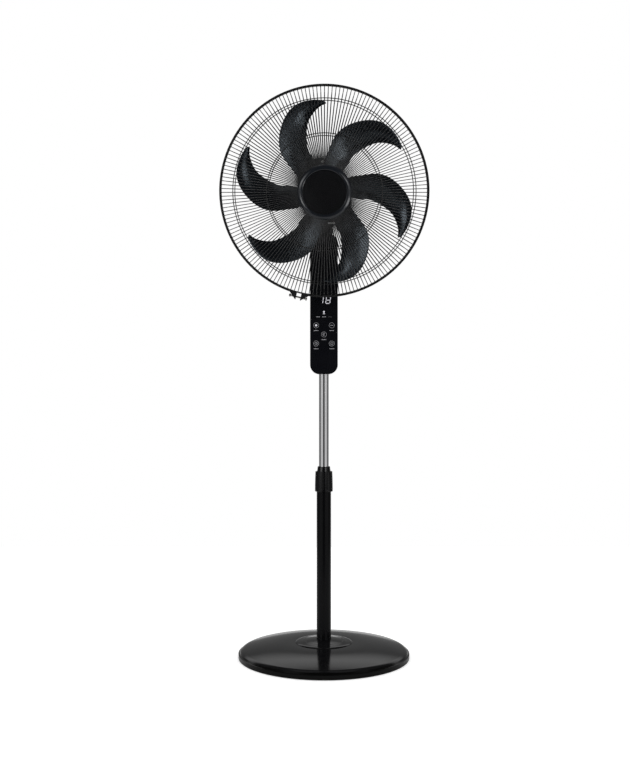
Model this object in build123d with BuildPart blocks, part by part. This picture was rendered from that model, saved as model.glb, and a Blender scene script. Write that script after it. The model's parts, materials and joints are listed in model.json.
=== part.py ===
from build123d import *
import os
from math import acos, cos, pi, radians, sin, sqrt, tan

os.makedirs("parts", exist_ok=True)

# Pedestal fan of the 16 inch (40 cm) class, in millimetres, +Z up. It blows towards -Y.
# The origin is the centre of the base's footprint, on the floor.

# ---------------------------------------------------------------- driving dimensions

# Clearances
running_fit = 0.05  # radial, shafts and pins that turn
sliding_fit = 0.1  # radial, telescoping tubes and the lock collar
loose_fit = 0.3  # between formed pieces, and between wires and what they lie on

# Base
base_radius = 192.5
base_shoulder_inset = 12.5
base_shoulder_height = 18.9
base_rim_inset = 5.0
base_rim_height = 15.2
base_ledge_inset = 2.5
base_ledge_height = 11.3
base_crown_height = 33.0
base_edge_lift = 1.0
base_wall = 2.5
base_edge_chamfer = 0.6
base_dome_radius = 63.5
base_dome_rise = 7.8
foot_height = 3.0
foot_radius = 11.0
foot_inset = 27.5  # base edge to the feet's centres
foot_count = 5
weight_inset = 5.0
washer_radius = 30.0
washer_thickness = 2.0
base_bolt_radius = 5.0
base_bolt_head_radius = 9.0
base_bolt_head_height = 3.5
base_bolt_grip = 15.0

# Outer tube, with a plug in its foot for the base bolt
outer_tube_radius = 16.25
outer_tube_wall = 1.2
outer_tube_top = 372.5
tube_plug_height = 25.0

# Height lock: slotted collet with a fluted collar round it
collet_plug_depth = 36.0
collet_core_radius = 16.1
collar_height = 45.5
collar_radius = 20.1
collar_top_radius = 19.1
collar_chamfer = 0.9
collar_flutes = 12
collar_flute_angle = -98.0
flute_radius = 2.4
collet_lip_height = 11.0
collet_lip_radius = 15.2
collet_slots = 4
collet_slot_width = 1.6

# Inner tube
inner_tube_radius = 11.0
inner_tube_wall = 1.0
inner_tube_overlap = 128.0  # how far it reaches down into the outer tube at the stored height
inner_tube_grip = 84.0  # how far it reaches up into the column
stop_bush_height = 20.0

# Column with the touch panel
column_width = 62.0
column_low = 638.0
column_high = 952.5
column_corner = 21.0
column_front = 24.0
column_back = 24.0
column_wall = 2.2
column_back_round = 8.0
panel_thickness = 2.4
rib_thickness = 3.0
rib_depth = 14.0
column_screw_radius = 1.5
column_screw_head_radius = 3.0
column_screw_head_height = 2.2
column_screw_inset = 9.0
column_screw_heights = (22.0, 212.0, 290.0)  # above the column's lower end
tube_screw_radius = 2.0
board_thickness = 1.6
board_post_height = 2.0
control_board_size = (56.0, 168.0)
control_board_low = 32.0
power_board_size = (46.0, 96.0)
power_board_low = 100.0
power_board_standoff = 6.0
board_screw_radius = 1.2
board_post_radius = 2.6
board_screw_inset = 3.2
touch_pad_radius = 4.0
display_size = (26.0, 14.0)
display_place = (6.5, 165.0)
touch_pad_places = ((-17.4, 109.0), (17.6, 109.0), (0.0, 89.0), (-17.4, 69.0), (17.6, 69.0))
capacitor_size = (36.0, 8.0, 24.0)
cord_inlet_radius = 5.5
cord_inlet_bore = 3.6
cord_inlet_height = 25.0

# Tilt joint on top of the column
head_lean = 10.0  # degrees, nose down
tilt_pin_rise = 13.0
tilt_pin_radius = 4.0
tilt_pin_head_radius = 6.4
tilt_pin_head_height = 2.8
fork_width = 40.0
fork_ear_thickness = 6.2
fork_ear_radius = 10.0
fork_depth = 34.0
fork_pad_thickness = 3.0
fork_spigot_radius = 12.0
fork_flange_radius = 16.0
fork_flange_thickness = 4.0
neck_barrel_radius = 9.4

# Swing bearing and drive, heights above the tilt pin in the leaning frame
seat_low = 11.0
seat_thickness = 5.0
seat_low_radius = 21.0
seat_radius = 25.0
thrust_washer_thickness = 1.0
swing_pin_radius = 5.0
swing_pin_foot = 5.0
swing_bush_wall = 2.5
swing_boss_radius = 12.0
swing_boss_height = 13.0
circlip_radius = 8.5
circlip_thickness = 1.2
gear_module = 1.2
swing_gear_teeth = 40
pinion_teeth = 12
gear_thickness = 5.0
gear_backlash = 0.35
pressure_angle = 20.0  # degrees
swing_motor_radius = 17.5
swing_motor_height = 14.0
swing_shelf_rise = 4.6
swing_shelf_thickness = 2.4
pinion_shaft_radius = 2.5
skirt_wall = 2.0
skirt_rise = 10.0  # seat top to the underside of the motor housing

# Motor housing and motor, lengths along the fan's axis
housing_radius = 56.0
housing_length = 111.0
housing_wall = 2.5
housing_tail_round = 20.0
housing_vents = 18
vent_length = 17.0
vent_width = 3.2
front_plate_thickness = 4.0
swing_setback = 45.4  # motor face to the swing axis
nose_radius = 17.0
nose_length = 14.0
shield_thickness = 4.0
stator_radius = 44.0
stator_bore_radius = 26.0
stator_length = 30.0
shield_rim = 4.0
end_turn_space = 7.0
end_turn_length = 5.0
end_turn_outer = 39.0
end_turn_inner = 29.0
air_gap = 0.4
shaft_radius = 4.0
shaft_front = 46.0  # ahead of the ring plane
bearing_radius = 8.0
bearing_length = 10.0
bearing_boss_radius = 12.0
motor_bolt_circle = 47.5
motor_bolt_radius = 2.0
motor_ear_radius = 4.5
housing_screw_circle = 49.0
housing_screw_radius = 1.5
housing_boss_length = 22.0

# Guard, radii from the fan's axis and depths from the ring plane
guard_radius = 225.0
spoke_count = 168
spoke_radius = 0.82
rim_wire_radius = 1.6
ring_wire_radius = 0.95
outer_ring_radius = 195.0
middle_ring_radius = 122.0
front_depth = 63.0
rear_depth = 59.4
# where the spokes bend: radii measured inwards from the guard's, depths back from the front disc
# or forwards from the rear disc
front_shoulder = (95.0, 8.0)
front_corner = (21.0, 37.0)
rear_shoulder = (85.0, 8.4)
rear_corner = (19.0, 28.4)
tail_inset = 14.0
tail_gap = 1.0  # spoke ends to the band
spoke_bends = (150.0, 18.0, 4.0)
band_thickness = 1.2
band_lip = 4.2
band_lip_thickness = 1.4
band_gap = 10.0
band_gap_angle = -104.1  # degrees, seen from the front, from +X
lug_length = 17.0
lug_height = 13.0
lug_thickness = 10.0
band_screw_radius = 2.0
band_screw_head_radius = 3.5
front_disc_radius = 55.5
front_disc_thickness = 1.2
front_spoke_start = 53.5
rear_disc_radius = 59.5
rear_lobe_radius = 71.0
rear_lobe_width = 54.0
rear_disc_thickness = 1.6
rear_spoke_start = 56.0
cap_radius = 56.5
cap_height = 7.8
badge_radius = 46.1
badge_wall = 2.4
ring_nut_radius = 30.0
ring_nut_height = 9.6
ring_nut_lobes = 8

# Fan blade
blade_count = 6
blade_thickness = 2.4
blade_camber = 0.08  # share of the chord
hub_radius = 58.0
hub_back = -20.0
hub_front = 36.0
hub_wall = 2.5
hub_corner = 11.0
hub_boss_radius = 11.0
hub_boss_back = -44.0
drive_pin_radius = 1.5
drive_pin_length = 19.0
spinner_radius = 16.0
spinner_height = 14.0

# One blade seen from the front: trailing edge x, y, leading edge x, y, and pitch in degrees
blade_stations = (
    (-46.0, 24.0, -15.0, 49.0, 38.0),
    (-69.5, 49.5, -24.5, 69.5, 36.0),
    (-88.0, 74.5, -33.5, 87.5, 33.0),
    (-96.0, 103.0, -38.0, 107.0, 30.0),
    (-93.5, 128.5, -38.0, 126.5, 27.0),
    (-84.5, 154.0, -34.5, 147.5, 24.0),
    (-68.5, 175.5, -25.5, 163.5, 21.0),
    (-47.0, 188.0, -16.0, 174.0, 18.0),
    (-23.0, 192.5, -5.5, 181.5, 16.0),
    (0.5, 190.0, 4.0, 186.0, 15.0),
)

# ---------------------------------------------------------------- frames and derived places

tilt_pin_height = column_high + tilt_pin_rise
lean = radians(head_lean)

# The leaning frame of the neck: origin on the tilt pin, its z axis is the swing axis
neck_plane = Plane(
    origin=(0, 0, tilt_pin_height), x_dir=(1, 0, 0), z_dir=(0, -sin(lean), cos(lean))
)
seat_top = seat_low + seat_thickness
housing_floor = seat_top + skirt_rise
axis_height = housing_floor + housing_radius

spoke_clear = spoke_radius + loose_fit
rear_disc_front = -(rear_depth + spoke_clear)
motor_face = rear_disc_front - rear_disc_thickness
ring_setback = swing_setback - motor_face

# The head's frame: origin in the middle of the ring plane, z forwards along the fan's axis
head_plane = Plane(
    origin=neck_plane.from_local_coords((0, -ring_setback, axis_height)),
    x_dir=(1, 0, 0),
    z_dir=(0, -cos(lean), -sin(lean)),
)
fan_axis = Axis(head_plane.origin, head_plane.z_dir)
head_section = Plane(head_plane.origin, x_dir=(1, 0, 0), z_dir=-head_plane.y_dir)

swing_axis = Axis(neck_plane.origin, neck_plane.z_dir)
neck_section = Plane(neck_plane.origin, x_dir=(1, 0, 0), z_dir=-neck_plane.y_dir)
gear_centres = gear_module * (swing_gear_teeth + pinion_teeth) / 2
pinion_origin = neck_plane.from_local_coords((0, gear_centres, 0))
pinion_section = Plane(pinion_origin, x_dir=(1, 0, 0), z_dir=-neck_plane.y_dir)
pinion_axis = Axis(pinion_origin, neck_plane.z_dir)


def ring_section(inner, outer, low, high):
    """The half section of a ring or, from radius 0, of a disc, on the current sketch."""
    with Locations(((inner + outer) / 2, (low + high) / 2)):
        Rectangle(outer - inner, high - low)


def along(radius, degrees_round):
    """The point at this radius and angle."""
    angle = radians(degrees_round)
    return (radius * cos(angle), radius * sin(angle))


def dome_radius(half_width, rise):
    """The radius of a sphere whose cap has this half width and rise."""
    return (half_width**2 + rise**2) / (2 * rise)


def circles_round(circle_radius, angles, radius):
    """Equal circles at these angles of a bolt circle."""
    with Locations(*[along(circle_radius, angle) for angle in angles]):
        Circle(radius)


# ---------------------------------------------------------------- base

foot_circle = base_radius - foot_inset
shoulder_radius = base_radius - base_shoulder_inset
rim_radius = base_radius - base_rim_inset
ledge_radius = base_radius - base_ledge_inset
crown_bulge = 3.8
shoulder_bulge = 0.4
crown_middle = (
    (shoulder_radius + base_dome_radius) / 2,
    (base_shoulder_height + base_crown_height) / 2 + crown_bulge,
)
shoulder_middle = (
    (shoulder_radius + rim_radius + shoulder_bulge) / 2,
    (base_shoulder_height + base_rim_height) / 2 + shoulder_bulge,
)
cover_bore = outer_tube_radius + loose_fit
base_dome_bulge = 1.2
base_dome_middle = (
    (cover_bore + base_dome_radius) / 2,
    base_crown_height + base_dome_rise / 2 + base_dome_bulge,
)


def crown_profile(drop):
    """The base's upper line, lowered by drop, from the pole over the dome out to the shoulder."""
    ThreePointArc(
        (cover_bore, base_crown_height + base_dome_rise - drop),
        (base_dome_middle[0], base_dome_middle[1] - drop),
        (base_dome_radius, base_crown_height - drop),
    )
    ThreePointArc(
        (base_dome_radius, base_crown_height - drop),
        (crown_middle[0], crown_middle[1] - drop),
        (shoulder_radius, base_shoulder_height - drop),
    )


with BuildPart() as base_cover:
    with BuildSketch(Plane.XZ):
        with BuildLine():
            crown_profile(0.0)
            ThreePointArc(
                (shoulder_radius, base_shoulder_height),
                shoulder_middle,
                (rim_radius, base_rim_height),
            )
            Polyline(
                (rim_radius, base_rim_height),
                (ledge_radius, base_ledge_height),
                (base_radius - base_edge_chamfer, base_ledge_height - base_edge_chamfer / 2),
                (base_radius, base_ledge_height - 1.5 * base_edge_chamfer),
                (base_radius, base_edge_lift),
                (base_radius - base_wall, base_edge_lift),
                (base_radius - base_wall, base_ledge_height - base_wall),
                (ledge_radius - 0.85 * base_wall, base_ledge_height - 0.6 * base_wall),
                (rim_radius - 0.75 * base_wall, base_rim_height - 0.7 * base_wall),
                (shoulder_radius, base_shoulder_height - base_wall),
            )
            crown_profile(base_wall)
            Line(
                (cover_bore, base_crown_height + base_dome_rise - base_wall),
                (cover_bore, base_crown_height + base_dome_rise),
            )
        make_face()
    revolve(axis=Axis.Z)
base_cover.part.label = "base_cover"
export_step(base_cover.part, "parts/base_cover.step")

weight_drop = base_wall + loose_fit
weight_radius = base_radius - base_wall - weight_inset
washer_low = foot_height + base_bolt_head_height + 0.5
washer_top = washer_low + washer_thickness
with BuildPart() as base_weight:
    with BuildSketch(Plane.XZ):
        with BuildLine():
            crown_profile(weight_drop)
            Polyline(
                (shoulder_radius, base_shoulder_height - weight_drop),
                (weight_radius, base_rim_height - 1.0 - weight_drop),
                (weight_radius, foot_height),
                (washer_radius + 3.0, foot_height),
                (washer_radius + 3.0, washer_top),
                (cover_bore, washer_top),
                (cover_bore, base_crown_height + base_dome_rise - weight_drop),
            )
        make_face()
    revolve(axis=Axis.Z)
base_weight.part.label = "base_weight"
export_step(base_weight.part, "parts/base_weight.step")

with BuildPart() as base_feet:
    with PolarLocations(foot_circle, foot_count, start_angle=90):
        Cylinder(foot_radius, foot_height, align=(Align.CENTER, Align.CENTER, Align.MIN))
    chamfer(base_feet.edges().group_by(Axis.Z)[0], 0.6)
base_feet.part.label = "base_feet"
export_step(base_feet.part, "parts/base_feet.step")

with BuildPart() as base_washer:
    with BuildSketch(Plane.XZ):
        ring_section(base_bolt_radius + loose_fit, washer_radius, washer_low, washer_top)
    revolve(axis=Axis.Z)
base_washer.part.label = "base_washer"
export_step(base_washer.part, "parts/base_washer.step")

tube_foot = washer_top + loose_fit
bolt_top = washer_top + base_bolt_grip
with BuildPart() as base_bolt:
    with BuildSketch(Plane.XY.offset(washer_low - base_bolt_head_height)):
        RegularPolygon(base_bolt_head_radius, 6)
    extrude(amount=base_bolt_head_height)
    with BuildSketch(Plane.XY.offset(washer_low)):
        Circle(base_bolt_radius)
    extrude(amount=bolt_top - washer_low)
base_bolt.part.label = "base_bolt"
export_step(base_bolt.part, "parts/base_bolt.step")

# ---------------------------------------------------------------- outer tube and height lock

tube_bore_radius = outer_tube_radius - outer_tube_wall
with BuildPart() as outer_tube:
    with BuildSketch(Plane.XZ):
        ring_section(tube_bore_radius, outer_tube_radius, tube_foot, outer_tube_top)
    revolve(axis=Axis.Z)
outer_tube.part.label = "outer_tube"
export_step(outer_tube.part, "parts/outer_tube.step")

with BuildPart() as tube_plug:
    with BuildSketch(Plane.XZ):
        ring_section(
            base_bolt_radius + running_fit,
            tube_bore_radius - running_fit,
            tube_foot,
            tube_foot + tube_plug_height,
        )
    revolve(axis=Axis.Z)
tube_plug.part.label = "tube_plug"
export_step(tube_plug.part, "parts/tube_plug.step")

collar_low = outer_tube_top + 1.0
collar_top = collar_low + collar_height
collet_bore_radius = inner_tube_radius + sliding_fit
collet_top = collar_top + collet_lip_height
collet_step = outer_tube_top + loose_fit
with BuildPart() as height_collet:
    with BuildSketch(Plane.XZ):
        with BuildLine():
            Polyline(
                (collet_bore_radius, outer_tube_top - collet_plug_depth),
                (tube_bore_radius - running_fit, outer_tube_top - collet_plug_depth),
                (tube_bore_radius - running_fit, collet_step),
                (collet_core_radius, collet_step),
                (collet_core_radius, collar_top - 4.0),
                (collet_lip_radius, collar_top),
                (collet_lip_radius - 1.2, collet_top - 1.0),
                (collet_lip_radius - 2.0, collet_top),
                (collet_bore_radius, collet_top),
                close=True,
            )
        make_face()
    revolve(axis=Axis.Z)
    with BuildSketch(Plane.XY.offset(collar_top - 14.0)):
        with PolarLocations(0, collet_slots, start_angle=45):
            Rectangle(collet_core_radius + 2.0, collet_slot_width, align=(Align.MIN, Align.CENTER))
    extrude(amount=collet_lip_height + 15.0, mode=Mode.SUBTRACT)
height_collet.part.label = "height_collet"
export_step(height_collet.part, "parts/height_collet.step")

flute_floor = collar_low + 5.0
collar_taper = collar_radius - collar_top_radius
with BuildPart() as height_collar:
    with BuildSketch(Plane.XZ):
        with BuildLine():
            ThreePointArc(
                (collar_radius, collar_low + collar_chamfer),
                (collar_radius - 0.25 * collar_taper, collar_low + collar_height / 2),
                (collar_top_radius, collar_top - collar_chamfer),
            )
            Polyline(
                (collar_top_radius, collar_top - collar_chamfer),
                (collar_top_radius - collar_chamfer, collar_top),
                (collet_core_radius + sliding_fit, collar_top),
                (collet_core_radius + sliding_fit, collar_low),
                (collar_radius - collar_chamfer, collar_low),
                (collar_radius, collar_low + collar_chamfer),
            )
        make_face()
    revolve(axis=Axis.Z)
    with BuildSketch(Plane.XY.offset(flute_floor)):
        with PolarLocations(
            collar_radius + 0.35 * flute_radius, collar_flutes, start_angle=collar_flute_angle
        ):
            Circle(flute_radius)
    extrude(amount=collar_height, mode=Mode.SUBTRACT)
height_collar.part.label = "height_collar"
export_step(height_collar.part, "parts/height_collar.step")

# ---------------------------------------------------------------- inner tube

inner_tube_low = outer_tube_top - inner_tube_overlap
inner_tube_high = column_low + inner_tube_grip
tube_screw_height = inner_tube_high - 19.0
with BuildPart() as inner_tube:
    with BuildSketch(Plane.XZ):
        ring_section(
            inner_tube_radius - inner_tube_wall, inner_tube_radius, inner_tube_low, inner_tube_high
        )
    revolve(axis=Axis.Z)
    with BuildSketch(Plane.XZ):
        with Locations((0, tube_screw_height)):
            Circle(tube_screw_radius + loose_fit)
    extrude(amount=inner_tube_radius + 1.0, both=True, mode=Mode.SUBTRACT)
inner_tube.part.label = "inner_tube"
export_step(inner_tube.part, "parts/inner_tube.step")

with BuildPart() as tube_stop_bush:
    with BuildSketch(Plane.XZ):
        ring_section(
            inner_tube_radius + running_fit,
            tube_bore_radius - sliding_fit,
            inner_tube_low,
            inner_tube_low + stop_bush_height,
        )
    revolve(axis=Axis.Z)
tube_stop_bush.part.label = "tube_stop_bush"
export_step(tube_stop_bush.part, "parts/tube_stop_bush.step")

# ---------------------------------------------------------------- column

column_height = column_high - column_low
column_middle = (column_low + column_high) / 2
tube_hole_radius = inner_tube_radius + loose_fit
shell_front = column_front - panel_thickness
inner_front = shell_front - column_wall
inner_back = column_back - column_wall
inner_half_width = column_width / 2 - column_wall
flange_low = column_high - 19.0
# height and hole of each plate: two hold the tube, one stops it, one locks the fork's flange
column_ribs = (
    (column_low + 50.0, tube_hole_radius),
    (inner_tube_high - 8.0, tube_hole_radius),
    (inner_tube_high + loose_fit, inner_tube_radius - 3.0),
    (flange_low + fork_flange_thickness + running_fit, fork_spigot_radius + loose_fit),
)
screw_places = [
    (side * (column_width / 2 - column_screw_inset), column_low + height)
    for height in column_screw_heights
    for side in (-1, 1)
]
board_front = inner_front - board_post_height
board_back = board_front - board_thickness
control_board_middle = column_low + control_board_low + control_board_size[1] / 2
power_board_middle = column_low + power_board_low + power_board_size[1] / 2


def board_corners(size, middle):
    """The places of a board's four screws, across the column and up."""
    return [
        (side * (size[0] / 2 - board_screw_inset), middle + end * (size[1] / 2 - board_screw_inset))
        for side in (-1, 1)
        for end in (-1, 1)
    ]


board_posts = board_corners(control_board_size, control_board_middle)
power_posts = board_corners(power_board_size, power_board_middle)
end_hole_depth = column_wall + 4.0
# where the column's two end holes start, and their radii
column_ends = (
    (column_low - 1.0, tube_hole_radius),
    (column_high - end_hole_depth + 1.0, fork_spigot_radius + loose_fit),
)


def column_outline(inset=0.0):
    """The column seen from the front, as a rounded rectangle."""
    with Locations((0, column_middle)):
        RectangleRounded(
            column_width - 2 * inset, column_height - 2 * inset, column_corner - inset
        )


def rib_outline(depth, hole_radius):
    """One half of a plate across the column, with the hole in the middle."""
    with Locations((0, depth / 2)):
        Rectangle(2 * inner_half_width + 0.4, abs(depth))
    Circle(hole_radius, mode=Mode.SUBTRACT)


with BuildPart() as column_front_shell:
    with BuildSketch(Plane.XZ):
        column_outline()
    extrude(amount=shell_front)
    offset(
        amount=-column_wall,
        openings=column_front_shell.faces().sort_by(Axis.Y)[-1],
        kind=Kind.INTERSECTION,
    )
    for height, hole_radius in column_ribs:
        with BuildSketch(Plane.XY.offset(height)):
            rib_outline(-rib_depth, hole_radius)
        extrude(amount=rib_thickness)
    for height, hole_radius in column_ends:
        with BuildSketch(Plane.XY.offset(height)):
            Circle(hole_radius)
        extrude(amount=end_hole_depth, mode=Mode.SUBTRACT)
    # window behind the touch panel, closed by the control board
    with BuildSketch(Plane.XZ.offset(inner_front - 1.0)):
        with Locations((0, control_board_middle)):
            Rectangle(control_board_size[0] - 12.0, control_board_size[1] - 14.0)
    extrude(amount=column_wall + 2.0, mode=Mode.SUBTRACT)
    with BuildSketch(Plane.XZ):
        with Locations(*screw_places):
            Circle(column_screw_inset - column_wall - 2.6)
    extrude(amount=inner_front + 0.2)
    with BuildSketch(Plane.XZ):
        with Locations(*screw_places):
            Circle(column_screw_radius + running_fit)
    extrude(amount=inner_front - 5.0, mode=Mode.SUBTRACT)
    with BuildSketch(Plane.XZ.offset(board_front)):
        with Locations(*board_posts):
            Circle(board_post_radius)
    extrude(amount=inner_front - board_front + 0.2)
    with BuildSketch(Plane.XZ.offset(board_front)):
        with Locations(*board_posts):
            Circle(board_screw_radius + running_fit)
    extrude(amount=inner_front - board_front + 0.5, mode=Mode.SUBTRACT)
column_front_shell.part.label = "column_front_shell"
export_step(column_front_shell.part, "parts/column_front_shell.step")

screw_floor = 12.0
with BuildPart() as column_rear_shell:
    with BuildSketch(Plane.XZ):
        column_outline()
    extrude(amount=-column_back)
    fillet(column_rear_shell.edges().group_by(Axis.Y)[-1], column_back_round)
    offset(
        amount=-column_wall,
        openings=column_rear_shell.faces().sort_by(Axis.Y)[0],
        kind=Kind.INTERSECTION,
    )
    for height, hole_radius in column_ribs:
        with BuildSketch(Plane.XY.offset(height)):
            rib_outline(rib_depth, hole_radius)
        extrude(amount=rib_thickness)
    for height, hole_radius in column_ends:
        with BuildSketch(Plane.XY.offset(height)):
            Circle(hole_radius)
        extrude(amount=end_hole_depth, mode=Mode.SUBTRACT)
    with BuildSketch(Plane.XZ):
        with Locations(*screw_places):
            Circle(column_screw_inset - column_wall - 2.0)
    extrude(amount=-inner_back)
    with BuildSketch(Plane.XZ):
        with Locations(*screw_places):
            Circle(column_screw_radius + running_fit)
    extrude(amount=-column_back, mode=Mode.SUBTRACT)
    with BuildSketch(Plane.XZ.offset(-screw_floor)):
        with Locations(*screw_places):
            Circle(column_screw_head_radius + loose_fit)
    extrude(amount=-column_back, mode=Mode.SUBTRACT)
    with BuildSketch(Plane.XZ.offset(-inner_back + power_board_standoff)):
        with Locations(*power_posts):
            Circle(board_post_radius)
    extrude(amount=-power_board_standoff - 0.2)
    with BuildSketch(Plane.XZ.offset(-inner_back + power_board_standoff)):
        with Locations(*power_posts):
            Circle(board_screw_radius + running_fit)
    extrude(amount=-power_board_standoff, mode=Mode.SUBTRACT)
    # boss for the tube screw, and the hole for the cord inlet
    with BuildSketch(Plane.XZ.offset(-inner_tube_radius - loose_fit)):
        with Locations((0, tube_screw_height)):
            Circle(tube_screw_radius + 2.5)
    extrude(amount=-(inner_back - inner_tube_radius))
    with BuildSketch(Plane.XZ):
        with Locations((0, tube_screw_height)):
            Circle(tube_screw_radius + running_fit)
        with Locations((0, column_low + cord_inlet_height)):
            Circle(cord_inlet_radius + loose_fit)
    extrude(amount=-column_back - 1.0, mode=Mode.SUBTRACT)
column_rear_shell.part.label = "column_rear_shell"
export_step(column_rear_shell.part, "parts/column_rear_shell.step")

with BuildPart() as touch_panel:
    with BuildSketch(Plane.XZ.offset(shell_front)):
        column_outline()
    extrude(amount=panel_thickness)
    fillet(touch_panel.edges().group_by(Axis.Y)[0], 0.8)
touch_panel.part.label = "touch_panel"
export_step(touch_panel.part, "parts/touch_panel.step")

with BuildPart() as control_board:
    with BuildSketch(Plane.XZ.offset(board_back)):
        with Locations((0, control_board_middle)):
            Rectangle(*control_board_size)
        with Locations(*board_posts):
            Circle(board_screw_radius + running_fit, mode=Mode.SUBTRACT)
    extrude(amount=board_thickness)
control_board.part.label = "control_board"
export_step(control_board.part, "parts/control_board.step")

with BuildPart() as display_module:
    with BuildSketch(Plane.XZ.offset(board_front)):
        with Locations((display_place[0], column_low + display_place[1])):
            Rectangle(*display_size)
    extrude(amount=shell_front - board_front)
display_module.part.label = "display_module"
export_step(display_module.part, "parts/display_module.step")

with BuildPart() as touch_pads:
    with BuildSketch(Plane.XZ.offset(board_front)):
        for across, up in touch_pad_places:
            with Locations((across, column_low + up)):
                Circle(touch_pad_radius)
    extrude(amount=shell_front - board_front)
touch_pads.part.label = "touch_pads"
export_step(touch_pads.part, "parts/touch_pads.step")

with BuildPart() as power_board:
    with BuildSketch(Plane.XZ.offset(-inner_back + power_board_standoff)):
        with Locations((0, power_board_middle)):
            Rectangle(*power_board_size)
        with Locations(*power_posts):
            Circle(board_screw_radius + running_fit, mode=Mode.SUBTRACT)
    extrude(amount=board_thickness)
power_board.part.label = "power_board"
export_step(power_board.part, "parts/power_board.step")

power_board_face = inner_back - power_board_standoff - board_thickness
with BuildPart() as motor_capacitor:
    with BuildSketch(Plane.XZ.offset(-power_board_face)):
        with Locations((0, power_board_middle + 20.0)):
            Rectangle(capacitor_size[0], capacitor_size[2])
    extrude(amount=capacitor_size[1])
    fillet(motor_capacitor.edges().filter_by(Axis.Y), 1.5)
motor_capacitor.part.label = "motor_capacitor"
export_step(motor_capacitor.part, "parts/motor_capacitor.step")

screw_head_depth = 1.4
with BuildPart() as board_screws:
    for places, face in ((board_posts, -board_back), (power_posts, power_board_face)):
        with BuildSketch(Plane.XZ.offset(-face)):
            with Locations(*places):
                Circle(board_screw_radius + 1.0)
        extrude(amount=screw_head_depth if face > 0 else -screw_head_depth)
    with BuildSketch(Plane.XZ.offset(board_back)):
        with Locations(*board_posts):
            Circle(board_screw_radius)
    extrude(amount=board_thickness + 1.5)
    with BuildSketch(Plane.XZ.offset(-power_board_face)):
        with Locations(*power_posts):
            Circle(board_screw_radius)
    extrude(amount=-board_thickness - 4.5)
board_screws.part.label = "board_screws"
export_step(board_screws.part, "parts/board_screws.step")

with BuildPart() as column_screws:
    with BuildSketch(Plane.XZ.offset(-screw_floor)):
        with Locations(*screw_places):
            Circle(column_screw_head_radius)
    extrude(amount=-column_screw_head_height)
    with BuildSketch(Plane.XZ.offset(-screw_floor)):
        with Locations(*screw_places):
            Circle(column_screw_radius)
    extrude(amount=screw_floor + inner_front - 7.0)
column_screws.part.label = "column_screws"
export_step(column_screws.part, "parts/column_screws.step")

with BuildPart() as tube_screw:
    with BuildSketch(Plane.XZ.offset(-column_back)):
        with Locations((0, tube_screw_height)):
            Circle(tube_screw_radius + 2.0)
    extrude(amount=-2.0)
    with BuildSketch(Plane.XZ.offset(-column_back)):
        with Locations((0, tube_screw_height)):
            Circle(tube_screw_radius)
    extrude(amount=column_back + inner_tube_radius + 1.5)
tube_screw.part.label = "tube_screw"
export_step(tube_screw.part, "parts/tube_screw.step")

with BuildPart() as cord_inlet:
    with BuildSketch(Plane.XZ.offset(-inner_back)):
        with Locations((0, column_low + cord_inlet_height)):
            Circle(cord_inlet_radius)
            Circle(cord_inlet_bore, mode=Mode.SUBTRACT)
    extrude(amount=-column_wall)
    with BuildSketch(Plane.XZ.offset(-column_back)):
        with Locations((0, column_low + cord_inlet_height)):
            Circle(cord_inlet_radius + 2.0)
            Circle(cord_inlet_bore, mode=Mode.SUBTRACT)
    extrude(amount=-2.0)
cord_inlet.part.label = "cord_inlet"
export_step(cord_inlet.part, "parts/cord_inlet.step")

# ---------------------------------------------------------------- tilt joint

fork_half = fork_width / 2
ear_inner = fork_half - fork_ear_thickness
pad_top = column_high + fork_pad_thickness
spigot_low = flange_low
pin_seat_depth = tilt_pin_head_height + 0.4
with BuildPart() as tilt_fork:
    with BuildSketch(Plane.XY.offset(column_high)):
        RectangleRounded(fork_width, fork_depth, 6.0)
    extrude(amount=fork_pad_thickness)
    with BuildSketch(Plane.XY.offset(spigot_low)):
        Circle(fork_spigot_radius)
    extrude(amount=column_high - spigot_low)
    with BuildSketch(Plane.XY.offset(flange_low)):
        Circle(fork_flange_radius)
    extrude(amount=fork_flange_thickness)
    for side in (-1, 1):
        with BuildSketch(Plane.YZ.offset(side * (fork_half + ear_inner) / 2)):
            with Locations((0, (tilt_pin_height + pad_top) / 2)):
                Rectangle(2 * fork_ear_radius, tilt_pin_height - pad_top)
            with Locations((0, tilt_pin_height)):
                Circle(fork_ear_radius)
        extrude(amount=fork_ear_thickness / 2, both=True)
        with BuildSketch(Plane.YZ.offset(side * fork_half)):
            with Locations((0, tilt_pin_height)):
                Circle(tilt_pin_head_radius + loose_fit)
        extrude(amount=-side * pin_seat_depth, mode=Mode.SUBTRACT)
    with BuildSketch(Plane.YZ):
        with Locations((0, tilt_pin_height)):
            Circle(tilt_pin_radius + running_fit)
    extrude(amount=fork_half + 1.0, both=True, mode=Mode.SUBTRACT)
tilt_fork.part.label = "tilt_fork"
export_step(tilt_fork.part, "parts/tilt_fork.step")

head_seat = fork_half - pin_seat_depth
with BuildPart() as tilt_pin:
    with BuildSketch(Plane.YZ.offset(-head_seat)):
        with Locations((0, tilt_pin_height)):
            Circle(tilt_pin_head_radius)
    extrude(amount=-tilt_pin_head_height)
    with BuildSketch(Plane.YZ.offset(-head_seat)):
        with Locations((0, tilt_pin_height)):
            Circle(tilt_pin_radius)
    extrude(amount=2 * head_seat + tilt_pin_head_height)
tilt_pin.part.label = "tilt_pin"
export_step(tilt_pin.part, "parts/tilt_pin.step")

with BuildPart() as tilt_pin_nut:
    with BuildSketch(Plane.YZ.offset(head_seat)):
        with Locations((0, tilt_pin_height)):
            RegularPolygon(tilt_pin_head_radius, 6)
            Circle(tilt_pin_radius + running_fit, mode=Mode.SUBTRACT)
    extrude(amount=tilt_pin_head_height)
tilt_pin_nut.part.label = "tilt_pin_nut"
export_step(tilt_pin_nut.part, "parts/tilt_pin_nut.step")

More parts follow.
